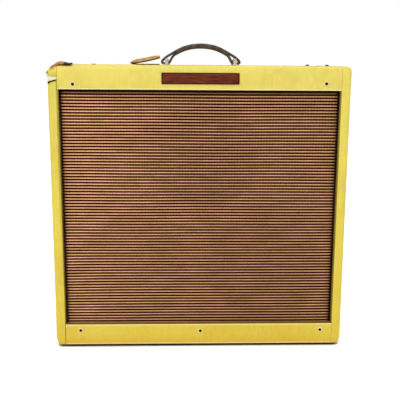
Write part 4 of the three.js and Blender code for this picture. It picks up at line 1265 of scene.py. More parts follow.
@dataclass
class Handle:
    """A stuffed leather grip whose split ends loop round pins, with stitching along both edges."""

    half_width: float = 10.8 * MM
    arch: Sequence[Pair] = (
        (-53, 21.2), (-45, 25.7), (-32.5, 31.3), (-18, 35), (0, 36.4),
        (18, 35), (32.5, 31.3), (45, 25.7), (53, 21.2),
    )
    loop: Sequence[Pair] = (
        (48, 26.3), (53, 23.9), (58.9, 20.5), (64.9, 17), (70.6, 12.9), (75.2, 8.2), (76.2, 5), (73, 3),
        (68, 2.8), (63.5, 3.6), (60.5, 7), (58, 11.5), (55.2, 16), (50.5, 20.6), (47, 22.6),
    )
    middle_thickness: float = 10.2 * MM
    end_thickness: float = 9.0 * MM
    strap: float = 4.7 * MM
    stitch_pitch: float = 4.2 * MM

    def build(self) -> None:
        """Builds the grip, its stitches and the two brackets."""
        at = middle("handle_grip")
        self.centre = (at.x, at.y)
        self.grip()
        self.stitches()
        for name in ("left", "right"):
            self.bracket(f"handle_bracket_{name}")

    def half_thickness(self, t: float) -> float:
        """Half the grip's thickness, from one end at t = 0 to the other at t = 1."""
        bulge = math.sin(math.pi * t) ** 0.6
        return (self.end_thickness + (self.middle_thickness - self.end_thickness) * bulge) / 2

    def grip(self) -> None:
        """The grip's stuffed middle and its two loops, in one piece."""
        bench = Bench()
        stations = through(self.arch, 7)
        last = len(stations) - 1
        sections = [
            Strap.station(at, way, self.centre, (self.half_width, self.half_thickness(i / last)))
            for i, (at, way) in enumerate(stations)
        ]
        bench.loft(sections, sides=28, square=0.62)
        for side in (-1, 1):
            loop = through([(side * x, z) for x, z in self.loop], 4)
            half = (self.half_width, self.strap / 2)
            bench.loft([Strap.station(at, way, self.centre, half) for at, way in loop], sides=20, square=0.35)
        node = "handle_grip"
        grip = bench.piece("leather_grip", BROWN_LEATHER, body=node, stands_for=[node], slot="brown_leather")

    def stitches(self) -> None:
        """Two rows of waxed thread along the top of the grip."""
        bench = Bench()
        stations = through(self.arch, 30)
        first, last = stations[0][0].x, stations[-1][0].x
        gone, previous = 0.0, stations[0][0]
        for at, way in stations[1:-1]:
            gone += (at - previous).length * MM
            previous = at
            if gone < self.stitch_pitch:
                continue
            gone = 0.0
            surface = self.half_thickness((at.x - first) / (last - first)) * 0.8
            for side in (-1, 1):
                where = (side * 0.8 * self.half_width, surface, 0)
                bench.ball(where, mm(0.8, 0.7, 3), Strap.stitch_place(at, way, self.centre))
        bench.piece("grip_stitches", WAXED_THREAD, body="handle_grip", slot="brown_leather")

    def bracket(self, node: str) -> None:
        """Two nickelled angle tabs with their screws, and the riveted pin that joins them."""
        low, high = corners(node)
        x, y = (low.x + high.x) / 2, (low.y + high.y) / 2
        pin_z = high.z - 3.4 * MM
        inside, outside = self.half_width + 1.9 * MM, self.half_width + 3.3 * MM
        reach = (high.y - low.y) / 2
        bench = Bench()
        for side in (-1, 1):
            foot = sorted((side * inside, side * reach))
            bench.box((low.x, y + foot[0], TOP + 0.2 * MM), (high.x, y + foot[1], TOP + 1.7 * MM))
            wall = sorted((side * inside, side * outside))
            tab = bench.box(
                (x - 3.3 * MM, y + wall[0], TOP + 1 * MM), (x + 3.3 * MM, y + wall[1], pin_z + 3.3 * MM)
            )
            crown = [e for e in Bench.ring_edges(tab) if min(v.co.z for v in e.verts) > pin_z]
            bench.bevel([e for e in crown if abs(e.verts[0].co.x - e.verts[1].co.x) < 1e-6], 3.1 * MM, 6)
        bench.bevel(bench.sharp_edges(60), 0.35 * MM, 2)
        lie = Matrix.Translation((x, y, pin_z)) @ BACKWARD
        end = outside / MM
        pin = [(0, -end - 1.1), (1.9, -end - 0.9), (2.7, -end - 0.1), (1.8, -end), (1.8, end)]
        bench.turn([*pin, (2.7, end + 0.1), (1.9, end + 0.9), (0, end + 1.1)], lie, 20)
        for side in (-1, 1):
            at = Matrix.Translation((x, y + side * (reach - 4.6 * MM), TOP + 1.6 * MM))
            slotted_head(bench, at, 2.8, 1.4, turned=0.4 + side)
        bench.piece(f"{node}_nickel", NICKEL, stands_for=[node], slot="dark_steel")


@dataclass
class Tag:
    """A folded strap of tan leather lying beside the handle's left end, its upper limb rolled over."""

    points: Sequence[Pair] = (
        (-79, 1.0), (-96, 1.0), (-112, 1.0), (-124, 1.2), (-131, 2.0), (-134.6, 3.6),
        (-131, 5.2), (-121, 7.0), (-105, 9.8), (-90, 13.2), (-77.5, 15.2),
    )
    thick: float = 2.6 * MM
    roll: float = 0.4
    fold: float = 3.6  # height of the fold's outermost point, in millimetres

    def build(self) -> None:
        """Builds the strap and its stitches; its flesh side, cut front edge and lower limb are near black,
        partly the flesh's own colour and partly painted shade under the upper limb.
        """
        low, high = corners("leather_tag")
        centre = (0.0, (low.y + high.y) / 2)
        half = (high.y - low.y) / 2 - 0.4 * MM
        stations = through(self.points, 6)
        last = len(stations) - 1
        bench = Bench()
        sections = []
        for i, (at, way) in enumerate(stations):
            tail = min(1.0, 0.55 + 4.5 * (last - i) / last)
            rolled = self.rolled(at)
            worn_thin = 0.55 + 0.45 * min(1.0, at.z / 4)
            sections.append(Strap.station(at, way, centre, (half * tail, self.thick / 2 * worn_thin), rolled))
        bench.loft(sections, sides=20, square=0.3)
        # The strip runs in along the top and back out, so its outer face is grain and its inner face is flesh.
        fold = Vector((-104 * MM, centre[1], TOP + 4.6 * MM))
        bmesh.ops.recalc_face_normals(bench.mesh, faces=bench.mesh.faces)
        # Painted shade: the inner faces, the faces towards the front and the whole lower limb take the
        # near-black finish, standing for the shade under and between the limbs as well as the flesh side.
        for face in bench.mesh.faces:
            at = face.calc_center_median()
            inside = face.normal.dot(fold - at) > 0 and abs(face.normal.y) < 0.6
            cut = face.normal.y < -0.5
            face.material_index = 1 if inside or cut or at.z < TOP + 3 * MM else 0
        both = (TAN_LEATHER, FLESH_SIDE)
        bench.piece("leather_tag_strap", *both, stands_for=["leather_tag"], slot="tan_leather")
        bench = Bench()
        for at, way in stations[38:-3:2]:
            for side in (-1, 1):
                where = (side * half * 0.72, self.thick / 2, 0)
                place = Strap.stitch_place(at, way, centre, self.rolled(at))
                bench.ball(where, mm(0.8, 0.6, 2.6), place)
        bench.piece("tag_stitches", WAXED_THREAD, slot="tan_leather")

    def rolled(self, at: Vector) -> float:
        """How far the strap is rolled over at a point: not at all below its fold."""
        return self.roll * min(1.0, max(0.0, (at.z - self.fold) / 3))


# ---- the back, inside and underneath
def standing(node: str, z: float | None = None) -> Matrix:
    """A place at the middle of a CAD node in plan, at a height or at the node's foot."""
    low, high = corners(node)
    return Matrix.Translation(((low.x + high.x) / 2, (low.y + high.y) / 2, low.z if z is None else z))


def on_panel(joint: str, z: float) -> Matrix:
    """A place on a control's own axis at a height."""
    x, y, _ = JOINTS[joint]["pos_m"]
    return Matrix.Translation((x, y, z))


@dataclass
class BackPanel:
    """A covered plywood panel across the back, held by screws in cup washers."""

    node: str
    columns: int = 3
    rows: int = 1
    rounding: float = 2.6 * MM

    def build(self) -> None:
        """Builds the panel and its fixings."""
        low, high = corners(self.node)
        bench = Bench()
        bench.soft_box(low, high, self.rounding)
        bench.piece(self.node + "_covered", TWEED, stands_for=[self.node], slot="tweed")
        washers, screws = Bench(), Bench()
        margin = 13 * MM
        for i in range(self.columns):
            x = low.x + margin + (high.x - low.x - 2 * margin) * i / (self.columns - 1)
            for k in range(self.rows):
                end = 16 * MM + (high.z - low.z - 32 * MM) * k / max(1, self.rows - 1)
                z = low.z + end if self.rows > 1 else (low.z + high.z) / 2
                at = Matrix.Translation((x, high.y - 0.2 * MM, z)) @ BACKWARD
                cup = [(0, 0), (6.5, 0), (6.2, 0.9), (4.6, 1.9), (3.6, 1.7), (2.4, 0.5), (0, 0.4)]
                washers.turn(cup, at, 24)
                slotted_head(screws, at @ shift(0, 0, 0.5), 3.3, 1.4, turned=i * 1.3 + k)
        washers.piece(self.node + "_cup_washers", NICKEL, slot="nickel")
        screws.piece(self.node + "_screws", RUSTED_SCREW, slot="dark_steel")


@dataclass
class Woodwork:
    """The cleats that carry the back panels, the baffle with its three holes, and the glides below."""

    def build(self) -> None:
        """Builds the unseen woodwork and the feet."""
        bench = Bench()
        for side in ("left", "right"):
            bench.soft_box(*corners(f"back_cleat_{side}"), 1.2 * MM)
        bench.piece("cleats", BARE_PINE, stands_for=["back_cleat_left", "back_cleat_right"], slot="pine")
        self.baffle()
        bench = Bench()
        glides = [f"glide_{end}_{side}" for end in ("front", "rear") for side in ("left", "right")]
        for node in glides:
            tall = (corners(node)[1].z - corners(node)[0].z) / MM
            profile = [(0, 0), (6.6, 0), (7.7, 0.5), (8, 1.4), (7.8, 2.4), (6.8, tall), (0, tall)]
            bench.turn(profile, standing(node), 28)
        bench.piece("glides", NICKEL, stands_for=glides, slot="nickel")

    def baffle(self) -> None:
        """The plywood baffle, cut round the speakers."""
        low, high = corners("baffle_board")
        depth = (ONTO_FRONT @ middle("baffle_board")).y
        half_thick = 6 * MM
        bottom, top = up_slope(low.z) + 1 * MM, up_slope(high.z) - 1 * MM
        bench = Bench()
        loops = [[(low.x, bottom), (high.x, bottom), (high.x, top), (low.x, top)]]
        hole = 114 * MM
        for name in SPEAKERS:
            at = ONTO_FRONT @ middle(f"speaker_cone_{name}")
            angles = [TURN * i / 64 for i in range(64)]
            loops.append([(at.x + hole * math.cos(angle), at.z + hole * math.sin(angle)) for angle in angles])
        edges = []
        for loop in loops:
            verts = [bench.mesh.verts.new((x, depth - half_thick, z)) for x, z in loop]
            edges += [bench.mesh.edges.new(pair) for pair in zip(verts, verts[1:] + verts[:1])]
        filled = bmesh.ops.triangle_fill(bench.mesh, edges=edges, use_beauty=True)["geom"]
        faces = only(BMFace, filled)
        made = bmesh.ops.extrude_face_region(bench.mesh, geom=faces, use_keep_orig=True)["geom"]
        bmesh.ops.translate(bench.mesh, verts=only(BMVert, made), vec=(0, 2 * half_thick, 0))
        bench.bevel(bench.sharp_edges(70), 0.5 * MM, 1)
        bench.place(list(bench.mesh.verts), FRONT)
        bench.piece("baffle_plywood", PLYWOOD, stands_for=["baffle_board"], slot="plywood")


@dataclass
class Speaker:
    """A ten-inch speaker: pressed basket, ribbed paper cone, magnet under a bell cover."""

    name: str
    spoke: float = math.radians(30)
    seat: float = 26.6  # millimetres from the front to just behind the baffle

    def build(self) -> None:
        """Builds the basket on the case and the cone on its own body."""
        at = ONTO_FRONT @ middle(f"speaker_frame_{self.name}")
        self.place = FRONT @ Matrix.Translation((at.x, 0, at.z)) @ BACKWARD
        self.lug_board = self.place @ Matrix.Rotation(math.radians(45), 4, "Z")
        self.basket()
        self.fixings()
        self.cone()

    def basket(self) -> None:
        """The rim, four spokes, spider ring, and the magnet's cover."""
        seat = self.seat
        bench = Bench()
        rim = [(113, seat), (128.3, seat), (128.3, seat + 2.3), (122, seat + 2.6), (118.5, 33), (117.5, 40)]
        throat = [(112, 44), (110.5, 43), (115.6, 39.6), (116.6, seat + 3), (113, seat)]
        bench.turn([*rim, *throat], self.place, 72)
        saddle = [(57, 82), (64, 78), (70, 73.5), (71, 75), (65, 80.5), (60, 84.2), (46.5, 84.2), (46.5, 82)]
        bench.turn([*saddle, saddle[0]], self.place, 64)
        for i in range(4):
            bench.loft(self.spoke_stations(self.place @ Matrix.Rotation(i * math.pi / 2, 4, "Z")), 12, 0.5)
        node = f"speaker_frame_{self.name}"
        bench.piece(f"speaker_{self.name}_basket", ZINC_STEEL, stands_for=[node], slot="speaker_frame")
        bench = Bench()
        bell = [(0, 84.4), (44, 84.4), (45.6, 86), (45.6, 112), (44, 117), (39, 120.4)]
        bench.turn([*bell, (30, 121.6), (8, 121.6), (7, 120.6), (0, 120.6)], self.place, 64)
        bench.piece(f"speaker_{self.name}_bell", BLUE_LACQUER, slot="speaker_frame")
        bench = Bench()
        bench.turn(band(113.4, 128, seat - 0.4, seat), self.place, 64)
        bench.soft_box(mm(72, -13, 80), mm(74, 13, 95), 0.4 * MM, self.lug_board)
        bench.piece(f"speaker_{self.name}_gasket", FIBRE, slot="fibre_board")

    def spoke_stations(self, place: Matrix) -> list[Matrix]:
        """Sections down one pressed spoke, waisted between the rim and the magnet."""
        stations = []
        slope = Vector((49, 0, -36.4))  # from the magnet out to the rim, in millimetres
        way, across = slope.normalized(), Vector((0, 1, 0))
        for k in range(9):
            t = k / 8
            at = Vector((66, 0, 77.4)) + slope * t
            width = at.x * math.sin(self.spoke / 2) * (0.82 + 0.5 * (2 * t - 1) ** 2)
            columns = (across * width * MM, way.cross(across) * 1.5 * MM, way * MM)
            matrix = Matrix(columns).transposed().to_4x4()
            matrix.translation = at * MM
            stations.append(place @ matrix)
        return stations

    def fixings(self) -> None:
        """Eight nuts round the rim and the two solder lugs."""
        bench = Bench()
        for i in range(8):
            turned = Matrix.Rotation(TURN * (i + 0.5) / 8, 4, "Z")
            spot = self.place @ turned @ shift(123.4, 0, self.seat + 2.3)
            bench.turn(rod(4.3, 0, 0.6), spot, 18)
            bench.turn([(0, 0.5), (3.1, 0.5), (3.1, 2.6), (2.7, 3), (0, 3)], spot, 6)
            bench.turn([(0, 2.8), (1.5, 2.8), (1.5, 5), (1.2, 5.4), (0, 5.4)], spot, 12)
        for y in (-7, 7):
            near, far = (74 * MM, (y - 1.8) * MM, 86 * MM), (74.8 * MM, (y + 1.8) * MM, 99 * MM)
            bench.soft_box(near, far, 0.25 * MM, self.lug_board)
            bench.ball((74.9 * MM, y * MM, 88 * MM), mm(1.6, 2.6, 2.6), self.lug_board)
        bench.piece(f"speaker_{self.name}_nuts", DARK_STEEL, slot="dark_steel")

    def cone(self) -> None:
        """The paper cone with corrugated surround and dust cap, the spider and the voice coil."""
        body = f"speaker_cone_{self.name}"
        bench = Bench()
        outer = [(112.8, 30.6), (110.5, 29.2), (108.2, 30.8), (106, 29.6), (103.6, 31.6)]
        slope = [(103.6 - 3.78 * k, 31.6 + 1.54 * k + (0.45 if k % 2 else -0.2)) for k in range(1, 20)]
        front = [*outer, *slope, (28, 62.6)]
        back = [(radius - 0.35, deep + 1.0) for radius, deep in reversed(front)]
        bench.turn([*front, (27, 64.2), *back[1:-1], (112.6, 31.4), front[0]], self.place, 72)
        cap = [(0, 52.4), (8, 53), (16, 55.2), (23, 58.6), (28.4, 62.6)]
        bench.turn([*cap, (28, 63.6), (22, 59.8), (15.5, 56.4), (7.6, 54.1), (0, 53.4)], self.place, 48)
        bench.piece(body + "_paper", CONE_PAPER, body=body, stands_for=[body], slot="cone_paper")
        bench = Bench()
        bench.turn(band(18.1, 19.4, 66, 87), self.place, 40)
        bench.piece(body + "_former", FIBRE, body=body, slot="fibre_board")


@dataclass
class Chassis:
    """The chromed chassis in the well, its dial marks and the board of parts inside."""

    def build(self) -> None:
        """Folds the sheet, marks the dials and fills the board."""
        low, high = corners("chassis")
        sheet = 1.6 * MM
        inner = 246 * MM
        front = low.y + 2 * MM
        bench = Bench()
        walls = [
            ((low.x, low.y, high.z - sheet), high),
            ((-inner, front, low.z), (inner, front + sheet, high.z - 1 * MM)),
            ((-inner, front, low.z), (inner, high.y - 1 * MM, low.z + sheet)),
            ((-inner, front, low.z), (sheet - inner, high.y - 1 * MM, high.z - 1 * MM)),
            ((inner - sheet, front, low.z), (inner, high.y - 1 * MM, high.z - 1 * MM)),
        ]
        for near, far in walls:
            bench.soft_box(near, far, 0.45 * MM)
        bench.piece("chassis_steel", CHROME, stands_for=["chassis"], slot="chrome")
        self.panel = high.z
        self.marks()
        self.board()

    def marks(self) -> None:
        """Numbers from one to twelve and a ring of ticks round each dial, sunk in black."""
        bench = Bench()
        for knob in KNOBS:
            centre = on_panel(f"{knob}_turn", self.panel)
            for step in range(12):
                turned = math.radians(150 - step * 300 / 11)
                ray = Matrix.Rotation(turned, 4, "Z")
                bench.box(mm(-0.35, 12.4, -0.2), mm(0.35, 15, 0.08), centre @ ray)
                place = centre @ ray @ shift(0, 18.2, 0) @ ray.inverted()
                bench.number(str(step + 1), 4.2 * MM, place)
        bench.piece("dial_marks", DIAL_BLACK, slot="phenolic")

    def board(self) -> None:
        """The fibre board with its rows of eyelets, carbon resistors and paper capacitors."""
        low, high = corners("circuit_board")
        bench = Bench()
        bench.soft_box(low, high, 0.5 * MM)
        bench.piece("eyelet_board", FIBRE, stands_for=["circuit_board"], slot="fibre_board")
        parts, metal = Bench(), Bench()
        order = random.Random(5)
        upper, lower = high.z - 6 * MM, low.z + 6 * MM
        x = low.x + 10 * MM
        while x < high.x - 12 * MM:
            large = order.random() < 0.35
            radius = order.choice((3.6, 4.4)) if large else 1.9
            half = 12 if large else 5.5
            stand = Matrix.Translation((x, high.y + (radius + 0.3) * MM, (upper + lower) / 2))
            first = len(parts.mesh.faces)
            end = [(0, half), (radius * 0.8, half), (radius, half - 0.6)]
            parts.turn([*((out, -along) for out, along in end), *reversed(end)], stand, 14)
            for face in list(parts.mesh.faces)[first:]:
                face.material_index = 1 if large else 0
            metal.turn(rod(0.4, -17, 17), stand, 6)
            for z in (upper, lower):
                eyelet = Matrix.Translation((x, high.y - 0.2 * MM, z)) @ BACKWARD
                tip = radius + 0.8
                metal.turn([(0, 0), (2.1, 0), (1.9, 0.9), (1.1, 1.2), (0.6, tip), (0, tip)], eyelet, 10)
            x += order.uniform(9, 15) * MM
        parts.piece("resistors_and_capacitors", RESISTOR, WAXED_PAPER, slot="fibre_board")
        metal.piece("eyelets_and_leads", SOLDER, slot="nickel")


@dataclass
class Controls:
    """Everything on the panel: pointer knobs, toggles, jacks, fuse cap and jewel lamp."""

    def build(self) -> None:
        """Builds each control where its joint or box puts it."""
        self.panel = corners("chassis")[1].z
        for knob in KNOBS:
            self.knob(knob)
        for name in ("standby", "power"):
            self.toggle(name)
        for i in range(1, 5):
            self.jack(f"input_jack_{i}")
        self.fuse()
        self.lamp()

    def knob(self, name: str) -> None:
        """A pointer knob with a skirt, a waisted body, a ridge and a white line."""
        at = on_panel(f"{name}_turn", self.panel)
        bench = Bench()
        skirt = [(0, 1), (9.8, 1), (10, 1.5), (9.6, 3.4), (8.3, 5.4), (7.2, 9)]
        bench.turn([*skirt, (6.7, 14.6), (5.8, 16), (4.8, 16.6), (0, 16.8)], at, 44)
        half = [(0.7, -15.4), (3.0, -8), (3.2, 0.5), (2.3, 9.6)]
        outline = [(-x, y) for x, y in reversed(half[:3])] + half + [(-half[3][0], half[3][1])]
        ring = [bench.mesh.verts.new((x * MM, y * MM, 3.6 * MM)) for x, y in outline]
        face = bench.mesh.faces.new(ring)
        made = bmesh.ops.extrude_face_region(bench.mesh, geom=[face], use_keep_orig=True)["geom"]
        top = only(BMVert, made)
        for vert in top:
            vert.co.z = (15.6 - 5 * max(0.0, -vert.co.y / MM - 7) / 9) * MM
            vert.co.x *= 0.8
        beak = ring + top
        edges = [e for e in Bench.ring_edges(beak) if e.calc_face_angle(0) > 0.5]
        bench.place(beak, at)
        bench.bevel(edges, 0.5 * MM, 2)
        bench.turn([(0, -14), (3, -14), (3, 1.4), (0, 1.4)], at, 20)
        node = f"{name}_knob"
        bench.piece(node + "_phenolic", PHENOLIC, body=node, stands_for=[node], slot="phenolic")
        bench = Bench()
        bench.box(mm(-0.35, -12, 12.2), mm(0.35, -3, 16.9), at)
        for vert in bench.mesh.verts:
            if vert.co.y < at.translation.y - 6 * MM and vert.co.z > at.translation.z + 14 * MM:
                vert.co.z = at.translation.z + 13.15 * MM
        bench.piece(node + "_line", DIAL_WHITE, body=node, slot="phenolic")

    def nut(self, bench: Bench, at: Matrix, bore: float, across: float, tall: float) -> None:
        """Adds a chamfered hexagon nut round a bore.

        Args:
            bench: Where it is made.
            at: The nut's seat.
            bore: Radius of its hole, in millimetres.
            across: Radius of its corners, in millimetres.
            tall: Height in millimetres.
        """
        trim = across * 0.93
        flank = [(trim, 0), (across, 0.4), (across, tall - 0.4), (trim, tall)]
        bench.turn([(bore, 0), *flank, (bore, tall), (bore, 0)], at, 6)

    def toggle(self, name: str) -> None:
        """A toggle switch: case below the panel, bush, two nuts, and its own bat lever."""
        joint = JOINTS[f"{name}_toggle"]
        x, y, pivot = joint["pos_m"]
        node = f"{name}_switch_body"
        low, high = corners(node)
        at = Matrix.Translation((x, y, self.panel + 0.3 * MM))
        bench = Bench()
        bench.turn([(4.2, -5), (5.6, -5), (5.6, 5.6), (5.2, 6), (4.3, 6), (3.6, 0), (4.2, -5)], at, 32)
        bench.turn(band(5.5, 9, 0, 0.5), at, 32)
        self.nut(bench, at @ shift(0, 0, 0.5), 5.5, 8.2, 1.9)
        bench.piece(node + "_bush", NICKEL, stands_for=[node], slot="nickel")
        bench = Bench()
        bench.soft_box(low, (high.x, high.y, self.panel - 2 * MM), 0.8 * MM)
        lug = Vector((2.4, 0.4, 0)) * MM
        for side in (-1, 1):
            foot = Vector((x, y + side * 7 * MM, low.z))
            bench.soft_box(foot - lug - Vector((0, 0, 4 * MM)), foot + lug + Vector((0, 0, 1 * MM)), 0.2 * MM)
        bench.piece(node + "_case", PHENOLIC, slot="phenolic")
        lever = f"{name}_switch_lever"
        near, far = corners(lever)
        lean = -math.atan2(y - (near.y + 2.2 * MM), far.z - pivot)
        shank = [(0, -1.8), (1.3, -1.3), (1.35, 2), (1.7, 5)]
        bat = [(2.35, 10), (2.5, 12.2), (2.2, 14), (1.3, 14.8), (0, 15)]
        bench = Bench()
        bench.turn(shank + bat, Matrix.Translation((x, y, pivot)) @ Matrix.Rotation(-lean, 4, "X"), 24)
        bench.piece(lever + "_bat", NICKEL, body=lever, stands_for=[lever], slot="nickel")

    def jack(self, node: str) -> None:
        """A phone socket: nut, washer and bore above the panel, contacts below."""
        at = standing(node, self.panel)
        bench = Bench()
        barrel = [(3.35, -15), (4.6, -15), (4.6, 3.4), (4.2, 3.8), (3.6, 3.8), (3.35, 3.5)]
        bench.turn([*barrel, barrel[0]], at, 32)
        bench.turn([(4.6, 0.2), (8, 0.2), (7.9, 0.8), (4.6, 0.8), (4.6, 0.2)], at, 32)
        self.nut(bench, at @ shift(0, 0, 0.8), 4.6, 7.5, 1.9)
        bench.turn(band(4.6, 8, -7, -2), at, 32)
        bench.piece(node + "_socket", NICKEL, stands_for=[node], slot="nickel")

    def fuse(self) -> None:
        """The fuse holder's cap with a knurled skirt and a coin slot."""
        at = on_panel("fuse_cap_turn", self.panel + 0.3 * MM)
        bench = Bench()
        cap = [(8, 0), (7.9, 0.8), (7.5, 8), (7, 9.8), (6.2, 10.5), (0, 10.5)]
        bench.turn([(0, -34), (5.5, -34), (6, -28), (6, 0), *cap], at, 40)
        for i in range(20):
            spin = at @ Matrix.Rotation(TURN * i / 20, 4, "Z")
            bench.box(mm(7.2, -0.45, 1.2), mm(8.05, 0.45, 7.4), spin)
        bench.box(mm(-5, -0.6, 10.3), mm(5, 0.6, 10.7), at)
        bench.piece("fuse_cap_phenolic", PHENOLIC, body="fuse_cap", stands_for=["fuse_cap"], slot="phenolic")

    def lamp(self) -> None:
        """The pilot lamp: a nickel bezel and a faceted ruby jewel."""
        at = standing("pilot_lamp", self.panel + 0.3 * MM)
        bench = Bench()
        lip = [(9, 0), (8.9, 1.2), (8.4, 2.8), (7, 3.4), (6.4, 3), (6.4, 2), (0, 2)]
        bench.turn([(0, -26), (6.1, -26), (6.1, 0), *lip], at, 36)
        bench.piece("lamp_bezel", NICKEL, stands_for=["pilot_lamp"], slot="nickel")
        bench = Bench()
        bench.turn([(0, 2.1), (6.3, 2.1), (6.3, 5.4), (4.8, 8.4), (2.6, 10.6), (0, 11.2)], at, 9)
        bench.piece("lamp_jewel", RUBY, slot="ruby_glass", crease=5)


@dataclass
class Valve:
    """A valve hanging under the chassis: glass, electrodes, getter flash, base and socket."""

    node: str
    octal: bool = True

    def build(self) -> None:
        """Builds the valve downwards from the chassis shelf."""
        low, high = corners(self.node)
        drop = (high.z - low.z) / MM
        wide = (high.x - low.x) / 2 / MM
        at = standing(self.node, high.z) @ UPSIDE_DOWN
        seat = 20 if self.octal else 6
        shape = self.outline(drop, wide)
        glass = Bench()
        inner = [(max(0.0, radius - 0.9), height) for radius, height in shape[:-1]] + [(0, drop - 1.2)]
        glass.turn([*shape, *reversed(inner), shape[0]], at, 40)
        glass.piece(self.node + "_bulb", VALVE_GLASS, slot="valve_glass")
        base = Bench()
        if self.octal:
            base.turn([(0, 0.6), (16, 0.6), (16.4, 1.2), (16.4, 17), (15.8, seat), (0, seat)], at, 40)
        else:
            base.turn([(0, 0.6), (11.3, 0.6), (11.3, 4), (11, seat), (0, seat)], at, 40)
        base.piece(self.node + "_base", PHENOLIC, stands_for=[self.node], slot="phenolic")
        plates, mica = Bench(), Bench()
        top = drop * 0.8
        half, flat = wide * 0.42 * MM, wide * 0.42 * 0.55 * MM
        plates.soft_box((-half, -flat, (seat + 8) * MM), (half, flat, (top - 3) * MM), 1.2 * MM, at)
        for side in (-1, 1):
            plates.turn(rod(0.6, seat, top), at @ shift(side * (half / MM + 1.2), 0, 0), 8)
        for height in (seat + 7, top - 2):
            mica.turn(rod(wide * 0.66, height, height + 0.5), at, 28)
        plates.piece(self.node + "_electrodes", BLACKENED_NICKEL, slot="dark_steel")
        mica.piece(self.node + "_mica", MICA, slot="fibre_board")
        flash = Bench()
        near = [(radius - 1.1, height - 0.3) for radius, height in shape if height > drop * 0.87]
        if len(near) > 1:
            near[-1] = (0, near[-1][1] - 1.2)
            skin = [(max(0.0, radius - 0.25), height - 0.25) for radius, height in reversed(near)]
            flash.turn([*near, *skin, near[0]], at, 36)
            flash.piece(self.node + "_getter", GETTER, slot="valve_glass")
        ring = Bench()
        rim = 19.5 if self.octal else 13
        ring.turn(band(rim - 3.4, rim, -0.25, 0.55), at, 36)
        ring.piece(self.node + "_socket_ring", NICKEL, slot="nickel")

    def outline(self, drop: float, wide: float) -> list[Pair]:
        """The bulb's profile as (radius, drop) points in millimetres."""
        if not self.octal:
            return [(wide - 0.6, 5.5), (wide - 0.4, 14), (wide - 0.5, drop - 12), (wide - 1.2, drop - 7),
                    (wide - 4, drop - 3.6), (3, drop - 2), (1.4, drop - 0.4), (0, drop)]
        if self.node == "rectifier_tube":
            return [(15.2, 19), (17, 23), (21.6, 36), (24.9, 52), (24.8, 62), (23.4, 75), (18.6, 84),
                    (16.4, 90), (15.9, 98), (13.4, 104), (7, drop - 1.2), (0, drop)]
        return [(15.2, 19), (18.4, 25), (21.2, 34), (22.4, 44), (22.4, 62), (21.8, 78), (19.6, 89),
                (15.6, 97), (9, 102.4), (4, drop - 0.6), (0, drop)]


@dataclass
class Transformer:
    """A transformer or choke: a laminated core between two pressed bells, with four through bolts."""

    node: str

    def build(self) -> None:
        """Builds the core, bells and bolts, hanging from the chassis."""
        low, high = corners(self.node)
        tall = high.z - low.z
        trim = 5 * MM
        upper, lower = high.z - tall * 0.36, high.z - tall * 0.64
        bench = Bench()
        bench.soft_box((low.x, low.y, lower), (high.x, high.y, upper), 0.6 * MM)
        bench.piece(self.node + "_core", LAMINATIONS, stands_for=[self.node], slot="black_enamel")
        bench = Bench()
        for near, far in ((upper - 0.5 * MM, high.z), (low.z, lower + 0.5 * MM)):
            bench.soft_box((low.x + trim, low.y + trim, near), (high.x - trim, high.y - trim, far), 5 * MM)
        bench.piece(self.node + "_bells", BLACK_ENAMEL, slot="black_enamel")
        bench = Bench()
        for x in (low.x + 2.9 * MM, high.x - 2.9 * MM):
            for y in (low.y + 2.9 * MM, high.y - 2.9 * MM):
                for z, way in ((lower, UPSIDE_DOWN), (upper, Matrix())):
                    at = Matrix.Translation((x, y, z)) @ way
                    bench.turn([(0, -0.2), (2.5, -0.2), (2.5, 2), (2.1, 2.4), (0, 2.4)], at, 6)
        bench.piece(self.node + "_bolts", NICKEL, slot="nickel")


@dataclass
class MainsGrommet:
    """The rubber grommet where the mains cord would pass."""

    def build(self) -> None:
        """Builds the grommet."""
        low, high = corners("mains_grommet")
        wide, tall = (high.x - low.x) / 2 / MM, (high.z - low.z) / MM
        bench = Bench()
        lip = tall / 2 - 0.9
        profile = [(4, lip), (5, 0.4), (wide - 1, 0), (wide, 0.8), (wide - 0.3, 1.8), (wide - 2.3, 2.1)]
        mirrored = [(radius, tall - height) for radius, height in reversed(profile)]
        bench.turn([*profile, *mirrored, profile[0]], standing("mains_grommet"), 32)
        bench.piece("mains_grommet_rubber", RUBBER, stands_for=["mains_grommet"], slot="rubber")


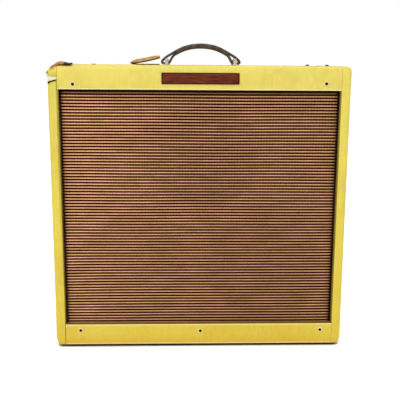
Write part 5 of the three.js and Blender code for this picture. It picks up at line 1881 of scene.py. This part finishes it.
# ---- the studio
@dataclass
class Studio:
    """A plain pale floor, soft light and the camera."""

    lens: float = 52.63
    sky: float = 0.72
    eye: Triple = (-32.5 * MM, -1210.2 * MM, 560.2 * MM)
    aim: Triple = (-1.707, -13.483, 0.428)  # yaw to the right, pitch and roll, in degrees

    def build(self) -> None:
        """Sets the studio up."""
        self.camera()
        self.floor()
        lamps = (
            ("key", (-0.7, -1.3, 2.6), 1.4, 26.0),
            ("fill", (1.8, -2.0, 1.2), 2.2, 5.0),
            ("back", (0.4, 2.2, 2.2), 2.0, 22.0),
        )
        for lamp in lamps:
            self.light(*lamp)
        world = bpy.data.worlds.new("studio_white")
        world.use_nodes = True
        tree = world.node_tree
        # The backdrop shows pure white, but lights the amplifier less than that.
        backdrop = tree.nodes["Background"]
        backdrop.inputs[0].default_value = (1, 1, 1, 1)
        strength = add(tree, "MapRange", {0: add(tree, "LightPath"), 3: self.sky, 4: 1.0})
        tree.links.new(strength, backdrop.inputs[1])
        bpy.context.scene.world = world
        bpy.context.scene.view_settings.view_transform = "Standard"

    def camera(self) -> None:
        """Places the camera level with the case's top, a little left of its middle."""
        data = bpy.data.cameras.new("camera")
        data.lens = self.lens
        data.clip_start = 0.02
        camera = show("camera", data)
        yaw, pitch, roll = (math.radians(angle) for angle in self.aim)
        turned = Matrix.Rotation(yaw, 4, "Z") @ Matrix.Rotation(math.pi / 2 + pitch, 4, "X")
        camera.matrix_world = Matrix.Translation(self.eye) @ turned @ Matrix.Rotation(roll, 4, "Z")
        bpy.context.scene.camera = camera

    def floor(self) -> None:
        """A wide white floor."""
        bench = Bench()
        bmesh.ops.create_grid(bench.mesh, x_segments=2, y_segments=2, size=12)
        data = bpy.data.meshes.new("floor")
        bench.mesh.to_mesh(data)
        bench.mesh.free()
        paint = StudioFloor("white_studio_floor", "FFFFFF", "F4F4F4", 0.9, grain=0.5, soil=Soil.CLEAN)
        data.materials.append(paint.material())
        floor = show("floor", data)

    def light(self, name: str, place: Triple, size: float, power: float) -> None:
        """Adds a soft square lamp aimed at the amplifier.

        Args:
            name: The lamp's name.
            place: Where it hangs, in metres.
            size: Its side.
            power: In watts.
        """
        data = bpy.data.lights.new(name, "AREA")
        data.shape = "SQUARE"
        data.size = size
        data.energy = power
        lamp = show(name, data)
        toward = Vector((0, 0, 0.3)) - Vector(place)
        lamp.matrix_world = Matrix.Translation(place) @ toward.to_track_quat("-Z", "Y").to_matrix().to_4x4()


def main() -> None:
    """Builds every sub-assembly in order and reports each."""
    logging.basicConfig(level=logging.INFO, format="%(name)s: %(message)s")
    Studio().build()
    assemblies = [
        Case(),
        Rail("front_valance", ["upper_left", "upper_right"]),
        Rail("lower_rail", ["lower_left", "lower_middle", "lower_right"]),
        Grille(),
        Plate(),
        Handle(),
        Tag(),
        BackPanel("upper_back_panel", columns=3),
        BackPanel("lower_back_panel", columns=4, rows=2),
        Woodwork(),
        *(Speaker(name) for name in SPEAKERS),
        Chassis(),
        Controls(),
        *(Valve(name) for name in ("rectifier_tube", "power_tube_1", "power_tube_2")),
        *(Valve(f"preamp_tube_{i}", octal=False) for i in (1, 2, 3)),
        *(Transformer(name) for name in ("power_transformer", "output_transformer", "filter_choke")),
        MainsGrommet(),
    ]
    for assembly in assemblies:
        assembly.build()
        log.info("%s built", type(assembly).__name__)


if __name__ == "__main__":
    main()
